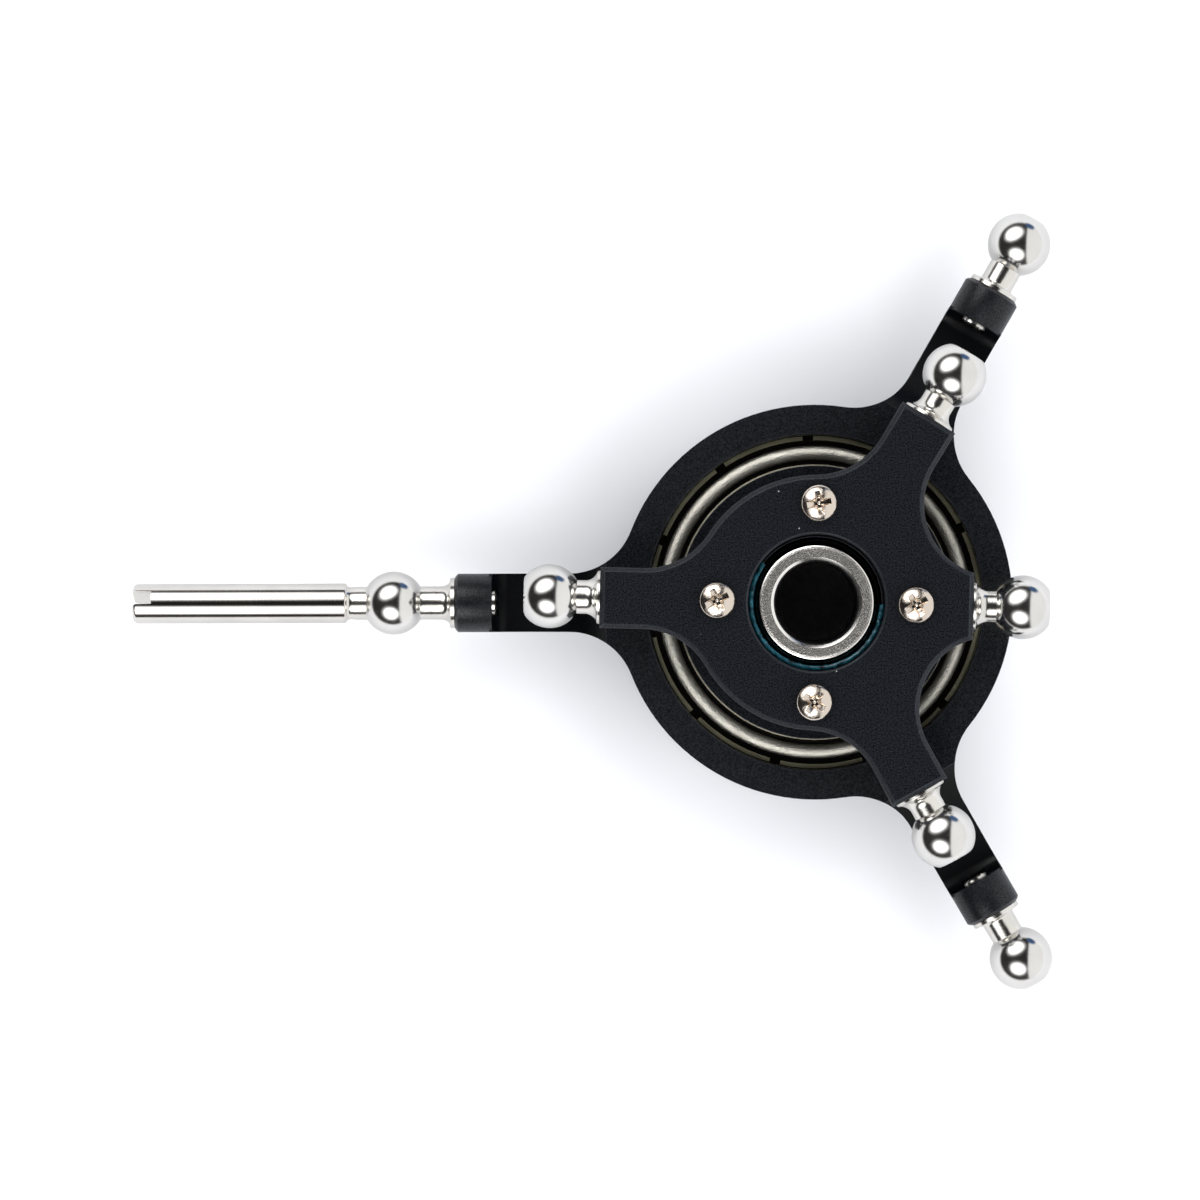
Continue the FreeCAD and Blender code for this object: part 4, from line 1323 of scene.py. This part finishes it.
@dataclass
class BallStuds:
    """The ball studs of the star and of the fixed ring, and the anti-rotation pin."""

    ball: float = 2.375
    tip: float = 1.35
    servo_tip: float = 0.85
    thread: float = 1.0
    neck: float = 1.25
    rotor_level: float = 1.7
    servo_level: float = -4.05
    boss_end: float = 26.95
    clearance: float = 0.01
    rotor_reach: float = 3.75
    servo_reach: float = 4.0
    pin_reach: float = 4.65
    pin_start: float = 8.15
    pin_end: float = 24.25
    pin_radius: float = 1.5
    slot_width: float = 1.0
    slot_depth: float = 1.42
    slot_turn: float = 20.0

    def rotor(self, depth: float) -> Piece:
        """Turn a stud of the star along +X, with its seat on the origin.

        Args:
            depth: How deep its thread goes.

        Returns:
            The stud.
        """
        flare = arc((1.17, 2.205), 0.97, 187.0, 268.0, 9.0)
        section = [
            (-depth, 0.0), (-depth, self.thread - 0.12), (-depth + 0.12, self.thread),
            (0.0, self.thread), (0.0, 1.94), (0.035, 1.975), (0.165, 1.975), (0.2, 1.94),
            *[(x, max(self.neck, r)) for x, r in flare if x > 0.21],
        ]
        return self._with_ball("rotor_stud", section, self.rotor_reach, self.tip)

    def servo(self) -> Piece:
        """Turn a stud of the fixed ring along +X, with its seat on the origin."""
        return self._with_ball("servo_stud", self._collar(0.68), self.servo_reach, self.servo_tip)

    def pin(self) -> Piece:
        """Turn the anti-rotation pin and saw its slot.

        Returns:
            The pin, pointing along -X from the ring.
        """
        reach = self.pin_reach
        half = math.degrees(math.asin(self.neck / self.ball))
        ball = arc((reach, 0.0), self.ball, 180.0 - half, half, 5.0)
        section = [*self._collar(1.1), (reach - 2.25, self.neck), *ball]
        section += [
            (7.55, self.neck), (7.7, self.neck - 0.03), (7.95, self.neck - 0.03), (8.02, self.neck),
            *arc((self.pin_start + 0.2, self.pin_radius - 0.2), 0.2, 180.0, 90.0, 18.0),
            (self.pin_end - 0.28, self.pin_radius), (self.pin_end - 0.08, self.pin_radius - 0.12),
            (self.pin_end, self.pin_radius - 0.26), (self.pin_end, 0.0),
        ]
        pin = lathe("guide_pin", section, Axis.ARM, 72)
        saw = block("saw", (2 * self.slot_depth, self.slot_width, 4.0), (self.pin_end, 0.0, 0.0))
        take(saw)
        saw.rotation_euler = (math.radians(self.slot_turn), 0, 0)
        settle()
        work(pin, saw)
        break_edges(pin, 0.03, 2, 50.0)
        smooth(pin)
        return move(pin, 180.0, (-self.boss_end, 0.0, self.servo_level))

    def _collar(self, end: float) -> list[Point]:
        """Draw the thread, the thin collar and the flare, which meets the neck at the end way."""
        start, run, rise = -3.05, end - 0.42, 0.35
        radius = (run**2 + rise**2) / (2 * rise)
        foot = 270.0 - math.degrees(math.asin(run / radius)) if radius > rise else 180.0
        return [
            (start, 0.0), (start, self.thread - 0.1), (start + 0.1, self.thread), (0.0, self.thread),
            (0.0, 1.83), (0.06, 1.89), (0.33, 1.89), (0.40, 1.83), (0.42, 1.60),
            *arc((end, self.neck + radius), radius, foot + 2.0, 270.0, 9.0),
        ]

    def _with_ball(self, name: str, section: list[Point], reach: float, tip: float) -> Piece:
        """Add the neck and the ball to a half section and turn it.

        Args:
            name: Name of the piece.
            section: The section up to the neck.
            reach: Way from the seat to the ball's centre.
            tip: Radius of the flat at the ball's end.

        Returns:
            The turned stud.
        """
        radius = self.ball - self.clearance
        half = math.degrees(math.asin(self.neck / radius))
        edge = math.degrees(math.asin(tip / radius)) + 1.5
        ball = arc((reach, 0.0), radius, 180.0 - half, edge, 5.0)
        end = reach + math.sqrt(radius**2 - tip**2)
        section = [*section, *ball, (end, tip - 0.05), (end, 0.0)]
        stud = lathe(name, section, Axis.ARM, 72)
        smooth(stud)
        return stud


# ---------------------------------------------------------------- ball joint


@dataclass
class BallJoint:
    """The mast ball in its two plastic seats, with the grease round its mouth."""

    ball: float = 5.5
    face: float = 4.158
    half: float = 3.6
    bore: float = 3.0
    edge: float = 0.36
    seat_outer: float = 6.03
    seat_inner: float = 5.53
    seat_top: float = 2.9
    seat_mouth: float = 4.85
    split: float = 0.1

    def mast_ball(self) -> Piece:
        """Turn and bore the mast ball.

        Returns:
            The ball.
        """
        rise = math.degrees(math.asin((self.half - 0.06) / self.ball))
        side = arc((0.0, 0.0), self.ball, -rise, rise, 3.0)
        lip = [(self.face - 0.02, self.half - 0.028), (self.face - 0.175, self.half)]
        chamfer = [(self.bore + self.edge, self.half), (self.bore + 0.31, self.half - 0.03),
                   (self.bore + 0.16, self.half - 0.14), (self.bore + 0.07, self.half - 0.28),
                   (self.bore, self.half - 0.5)]
        top = [*lip, *chamfer]
        under = [(r, -z) for r, z in reversed(top)]
        section = [*side, *top, *under]
        ball = lathe("mast_ball_body", [*section, section[0]], steps=120)
        smooth(ball, 8.0)
        return ball

    def seat(self, name: str, side: float) -> Piece:
        """Turn one plastic seat.

        Args:
            name: Name of the piece.
            side: 1 for the upper one and -1 for the lower one.

        Returns:
            The seat.
        """
        low = math.degrees(math.asin(self.split / self.seat_inner))
        high = math.degrees(math.acos(self.seat_mouth / self.seat_inner))
        bowl = arc((0.0, 0.0), self.seat_inner, low, high, 4.0)
        section = [
            *bowl, (self.seat_mouth, self.seat_top - 0.05), (self.seat_mouth + 0.05, self.seat_top),
            (self.seat_outer - 0.1, self.seat_top), (self.seat_outer, self.seat_top - 0.1),
            (self.seat_outer, self.split), bowl[0],
        ]
        seat = lathe(name, [(r, side * z) for r, z in section], steps=120)
        smooth(seat)
        return seat

    def grease(self) -> Piece:
        """Lay the bead of grease in the gap round the ball.

        Returns:
            The bead.
        """
        film = [(4.76, 2.935), (5.035, 2.935), (5.04, 3.10), (4.97, 3.20), (4.85, 3.24), (4.72, 3.20),
                (4.64, 3.12), (4.66, 3.06), (4.76, 2.935)]
        bead = lathe("grease_bead", film, steps=240, sweep=215.0)
        take(bead)
        bpy.ops.object.mode_set(mode="EDIT")
        bpy.ops.mesh.select_mode(type="VERT")
        bpy.ops.mesh.select_all(action="DESELECT")
        bpy.ops.mesh.select_non_manifold(extend=False)
        bpy.ops.mesh.edge_face_add()
        close_up()
        clouds = bpy.data.textures.new("grease_lumps", "CLOUDS")
        clouds.noise_scale = 0.0004
        modifier = bead.modifiers.new("lumps", "DISPLACE")
        modifier.texture = clouds
        modifier.texture_coords = "LOCAL"
        modifier.strength = 0.00007
        modifier.mid_level = 0.55
        take(bead)
        bpy.ops.object.modifier_apply(modifier="lumps")
        smooth(bead, 80.0, False)
        return move(bead, -2.0)


# ---------------------------------------------------------------- studio


@dataclass
class Studio:
    """Floor, soft boxes, surroundings and camera."""

    floor: float = -8.4
    camera: Place = (-10.8, 2.69, 440.0)
    camera_turn: Place = (-0.324, 0.681, -0.16)
    lens: float = 177.15
    lamp_way: float = 700.0
    room: float = 2.78
    room_lean: Place = (0.36, -0.12, 0.0)
    paper: Colour = (0.86, 0.865, 0.875, 1)
    paper_mirrored: Colour = (0.62, 0.62, 0.625, 1)
    white: Colour = (0.985, 0.985, 0.985, 1)
    dark: Colour = (0.014, 0.012, 0.012, 1)
    card: Colour = (0.98, 0.98, 0.97, 1)
    card_way: Place = (1.0, -0.03, 0.0)
    window: Colour = (0.03, 0.09, 0.22, 1)
    window_way: Place = (0.50, 0.85, 0.15)

    def build(self) -> None:
        """Set everything up round the swashplate."""
        self._floor()
        self._lamp("soft_box_back", (-0.33, 0.64, 0.70), (1400.0, 1000.0), 17.0)
        self._lamp("soft_box_front", (-0.19, -0.62, 0.76), (1150.0, 960.0), 13.5)
        self._surroundings()
        self._camera()

    def _floor(self) -> None:
        """Lay the pale floor."""
        take()
        bpy.ops.mesh.primitive_plane_add(size=4.0, location=(0, 0, self.floor * MM))
        floor = name_piece(bpy.context.object, "floor")
        material = bpy.data.materials.new("floor_paper")
        material.use_nodes = True
        shader = material.node_tree.nodes["Principled BSDF"]
        wiring = Wiring(material.node_tree)
        path = wiring.add("ShaderNodeLightPath")
        paper = wiring.blend(path.outputs["Is Glossy Ray"], self.paper, self.paper_mirrored)
        wiring.join(paper, shader.inputs["Base Color"])
        shader.inputs["Roughness"].default_value = 0.9
        dress(floor, material)

    def _lamp(
        self, name: str, direction: Place, size: tuple[float, float], power: float
    ) -> None:
        """Hang one round soft box, facing the origin.

        Args:
            name: Name of the lamp.
            direction: From the origin to the lamp.
            size: Width and height in millimetres.
            power: Power in watts.
        """
        aim = Vector(direction).normalized()
        bpy.ops.object.light_add(type="AREA", location=aim * self.lamp_way * MM)
        lamp = bpy.context.object
        lamp.name = name
        lamp.rotation_euler = aim.to_track_quat("Z", "Y").to_euler()
        lamp.data.shape = "ELLIPSE"
        lamp.data.size = size[0] * MM
        lamp.data.size_y = size[1] * MM
        lamp.data.energy = power
        lamp.visible_diffuse = False
        lamp.data.use_nodes = True
        wiring = Wiring(lamp.data.node_tree)
        glow = lamp.data.node_tree.nodes["Emission"]
        spot = wiring.add("ShaderNodeNewGeometry")
        way = wiring.add("ShaderNodeVectorMath", operation="DISTANCE")
        way.inputs[1].default_value = (0.5, 0.5, 0.0)
        wiring.join(spot.outputs["Parametric"], way.inputs[0])
        soft = wiring.ramp(way.outputs["Value"], 0.5, 0.05)
        wiring.join(wiring.math("POWER", soft, 2.0), glow.inputs["Strength"])
        lamp.visible_camera = False

    def _surroundings(self) -> None:
        """Light the room: white for floor and eye, a dark ceiling and a white card in reflections."""
        world = bpy.data.worlds.new("studio")
        bpy.context.scene.world = world
        world.use_nodes = True
        wiring = Wiring(world.node_tree)
        ray = wiring.add("ShaderNodeLightPath")
        way = wiring.add("ShaderNodeTexCoord").outputs["Generated"]
        split = wiring.add("ShaderNodeSeparateXYZ")
        wiring.join(way, split.inputs[0])
        height = split.outputs["Z"]
        card = wiring.ramp(wiring.along(way, self.card_way), 0.34, 0.45)
        bright = wiring.math("MAXIMUM", card, wiring.ramp(height, 0.16, 0.02))
        window = wiring.ramp(wiring.along(way, self.window_way), 0.960, 0.985)
        ceiling = wiring.blend(window, wiring.blend(bright, self.dark, self.card), self.window)
        lean = wiring.math("ADD", wiring.along(way, self.room_lean), 1.0)
        soft = wiring.add("ShaderNodeVectorMath", operation="SCALE")
        soft.inputs[0].default_value = (self.room, self.room * 1.01, self.room * 1.04)
        wiring.join(wiring.math("MULTIPLY", wiring.ramp(height, 0.95, 0.60), lean), soft.inputs["Scale"])
        seen = wiring.blend(ray.outputs["Is Glossy Ray"], soft.outputs["Vector"], ceiling)
        colour = wiring.blend(ray.outputs["Is Camera Ray"], seen, self.white)
        wiring.join(colour, world.node_tree.nodes["Background"].inputs["Color"])

    def _camera(self) -> None:
        """Hang the camera over the part."""
        data = bpy.data.cameras.new("camera")
        data.lens = self.lens
        data.sensor_width = 36.0
        camera = bpy.data.objects.new("camera", data)
        camera.location = Vector(self.camera) * MM
        camera.rotation_euler = [math.radians(part) for part in self.camera_turn]
        bpy.context.scene.collection.objects.link(camera)
        bpy.context.scene.camera = camera
        bpy.context.scene.view_settings.view_transform = "Standard"


# ---------------------------------------------------------------- assembly


@dataclass
class Swashplate:
    """The whole swashplate, piece by piece."""

    effects: Effects
    finishes: Finishes

    def __post_init__(self) -> None:
        """Make the materials that several pieces share."""
        # Painted highlight for chamfers, shared by the ring, the star and the seats.
        self.edge = self.finishes.painted_edge_highlight.material(self.effects)
        self.neck = self.finishes.neck_steel.material(self.effects)
        # Painted shade, shared by the races, the shields' grooves and the mast ball.
        self.painted_shade = self.finishes.race_painted_shade.material(self.effects)

    def _dress_stud(self, stud: Piece, name: str, heading: float, reach: float, level: float) -> None:
        """Polish a stud's ball and give the rest of it the plainer turned finish.

        Args:
            stud: The stud.
            name: Name of its own finish.
            heading: Its direction from the mast, in degrees.
            reach: From the mast to the ball's centre.
            level: Height of its axis.
        """
        dress(stud, self.finishes.stud(name, (0.0, 0.0, level), heading).material(self.effects))
        x, y = turned([(reach, 0.0)], heading)[0]
        ball = Vector((x, y, level))
        repaint(stud, self.neck, lambda at, way: (at - ball).length > BallStuds.ball + 0.02)

    def fixed_half(self) -> None:
        """Build the ring, its studs, the pin and the retaining ring."""
        made = FixedRing()
        ring = made.build()
        dress(ring, self.finishes.black_ring.material(self.effects))
        # Painted shade on the scoop floors.
        scoop = self.finishes.scoop_painted_shade.material(self.effects)
        repaint(ring, scoop, made.in_scoop)
        # Painted highlight on the ring's broken top edge.
        repaint(ring, self.edge, made.on_edge)
        barrel = self.finishes.black_barrel.material(self.effects)
        repaint(ring, barrel, made.on_boss)
        mount(ring, "fixed_swash", "black_ring", "outer_ring")
        clip = RetainingRing().build()
        dress(clip, self.finishes.clip_steel.material(self.effects))
        mount(clip, "fixed_swash", "clip_steel", "bearing_retaining_ring")
        studs = BallStuds()
        master = studs.servo()
        for name, heading in (("a", 60.0), ("b", 300.0)):
            stud = copy_of(master, f"servo_stud_{name}")
            move(stud, 0.0, (studs.boss_end, 0.0, studs.servo_level))
            move(stud, heading)
            reach = studs.boss_end + studs.servo_reach
            self._dress_stud(stud, f"servo_{name}", heading, reach, studs.servo_level)
            mount(stud, "fixed_swash", "stud_steel", f"servo_ball_stud_{name}")
        bpy.data.objects.remove(master)
        pin = studs.pin()
        self._dress_stud(pin, "pin", 180.0, studs.boss_end + studs.pin_reach, studs.servo_level)
        shank = self.finishes.pin((0.0, 0.0, studs.servo_level)).material(self.effects)
        repaint(pin, shank, lambda at, way: at.x < -studs.boss_end - studs.pin_start + 0.1)
        mount(pin, "fixed_swash", "stud_steel", "anti_rotation_pin")

    def bearing(self) -> None:
        """Build the bearing and dress the parts inside it."""
        made = ShieldedBearing()
        steel = self.finishes.race_steel.material(self.effects)
        for race, body, node in (
            (made.outer_race(), "fixed_swash", "bearing_outer_race"),
            (made.inner_race(), "rotating_swash", "bearing_inner_race"),
        ):
            dress(race, steel)
            # Painted shade on the races' flat and upright faces.
            repaint(race, self.painted_shade, lambda at, way: way.z > 0.9 or abs(way.z) < 0.1)
            mount(race, body, "race_steel", node)
        band = self.finishes.shield_steel.material(self.effects)
        rim = self.finishes.shield_rim.material(self.effects)
        for name, side in (("upper", 1.0), ("lower", -1.0)):
            shield = made.shield(f"shield_{name}", side)
            dress(shield, band)
            shield.data.materials.append(rim)
            # Painted shade in the groove between band and rim, the third slot.
            shield.data.materials.append(self.painted_shade)
            level = made.top if side > 0 else made.bottom
            for face in shield.data.polygons:
                outer = math.hypot(face.center.x, face.center.y) > made.band_end * MM
                sunk = side * (face.center.z / MM - level) < -made.sunk
                face.material_index = int(outer) + int(outer and sunk)
            mount(shield, "fixed_swash", "shield_steel", f"bearing_shield_{name}")
        dress(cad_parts["bearing_cage"], self.finishes.cage_brass.material(self.effects))
        dress(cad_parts["bearing_balls"], self.finishes.ball_steel.material(self.effects))

    def rotating_half(self) -> None:
        """Build the star, the lower hub, the screws and the star's studs."""
        made = RotorStar()
        star = made.build()
        dress(star, self.finishes.black_star.material(self.effects))
        # Painted highlight on the star's top chamfer.
        repaint(star, self.edge, lambda at, way: at.z > made.top - 0.4 and 0.3 < way.z < 0.97)
        mount(star, "rotating_swash", "black_star", "rotor_star")
        hub = ClampHub().build()
        dress(hub, self.finishes.black_hub.material(self.effects))
        mount(hub, "rotating_swash", "black_hub", "lower_clamp_hub")
        steel = self.finishes.screw_steel.material(self.effects)
        for screw in ClampScrews().build():
            dress(screw, steel)
            mount(screw, "rotating_swash", "screw_steel", "clamp_screws")
        studs = BallStuds()
        long_one, short_one = studs.rotor(4.2), studs.rotor(2.6)
        for name, heading, seat, master in (
            ("a", 60.0, made.arm_reach, long_one), ("b", 180.0, made.arm_reach, long_one),
            ("c", 300.0, made.arm_reach, long_one), ("d", 0.0, made.lug_reach, short_one),
        ):
            stud = copy_of(master, f"rotor_stud_{name}")
            move(stud, 0.0, (seat, 0.0, studs.rotor_level))
            heading += ROTOR_PHASE
            move(stud, heading)
            self._dress_stud(stud, f"rotor_{name}", heading, seat + studs.rotor_reach, studs.rotor_level)
            mount(stud, "rotating_swash", "stud_steel", f"rotor_ball_stud_{name}")
        for master in (long_one, short_one):
            bpy.data.objects.remove(master)

    def ball_joint(self) -> None:
        """Build the mast ball, its seats and the grease."""
        made = BallJoint()
        ball = made.mast_ball()
        dress(ball, self.finishes.mast_ball_steel.material(self.effects))
        # Painted highlight on the mast ball's polished chamfers.
        bright = self.finishes.mast_ball_edge.material(self.effects)
        repaint(ball, bright, lambda at, way: abs(at.z) > made.half - 0.4 and 0.12 < abs(way.z) < 0.98)
        # Painted shade in the bore.
        bore = self.finishes.bore_painted_shade.material(self.effects)
        repaint(ball, bore, lambda at, way: at.xy.length < made.bore + 0.08)
        # Painted shade on the ball's side inside the seats.
        repaint(
            ball, self.painted_shade,
            lambda at, way: at.length > made.ball - 0.05 and abs(at.z) < made.half - 0.07,
        )
        mount(ball, "mast_pivot", "mast_ball_steel", "mast_ball")
        plastic = self.finishes.seat_plastic.material(self.effects)
        for name, side in (("upper", 1.0), ("lower", -1.0)):
            seat = made.seat(f"seat_{name}", side)
            dress(seat, plastic)
            # Painted highlight on the seat's mouth chamfer.
            repaint(
                seat, self.edge,
                lambda at, way: -0.01 < at.xy.length - made.seat_mouth < 0.06 and abs(way.z) > 0.2,
            )
            mount(seat, "ball_seats", "seat_plastic", f"ball_seat_{name}")
        bead = made.grease()
        dress(bead, self.finishes.grease.material(self.effects))
        mount(bead, "rotating_swash", "seat_plastic")


def main() -> None:
    """Build the swashplate and its studio."""
    logging.basicConfig(level=logging.INFO, format="%(message)s")
    part = Swashplate(Effects(), Finishes())
    part.fixed_half()
    part.bearing()
    part.rotating_half()
    part.ball_joint()
    Studio().build()


if __name__ == "__main__":
    main()
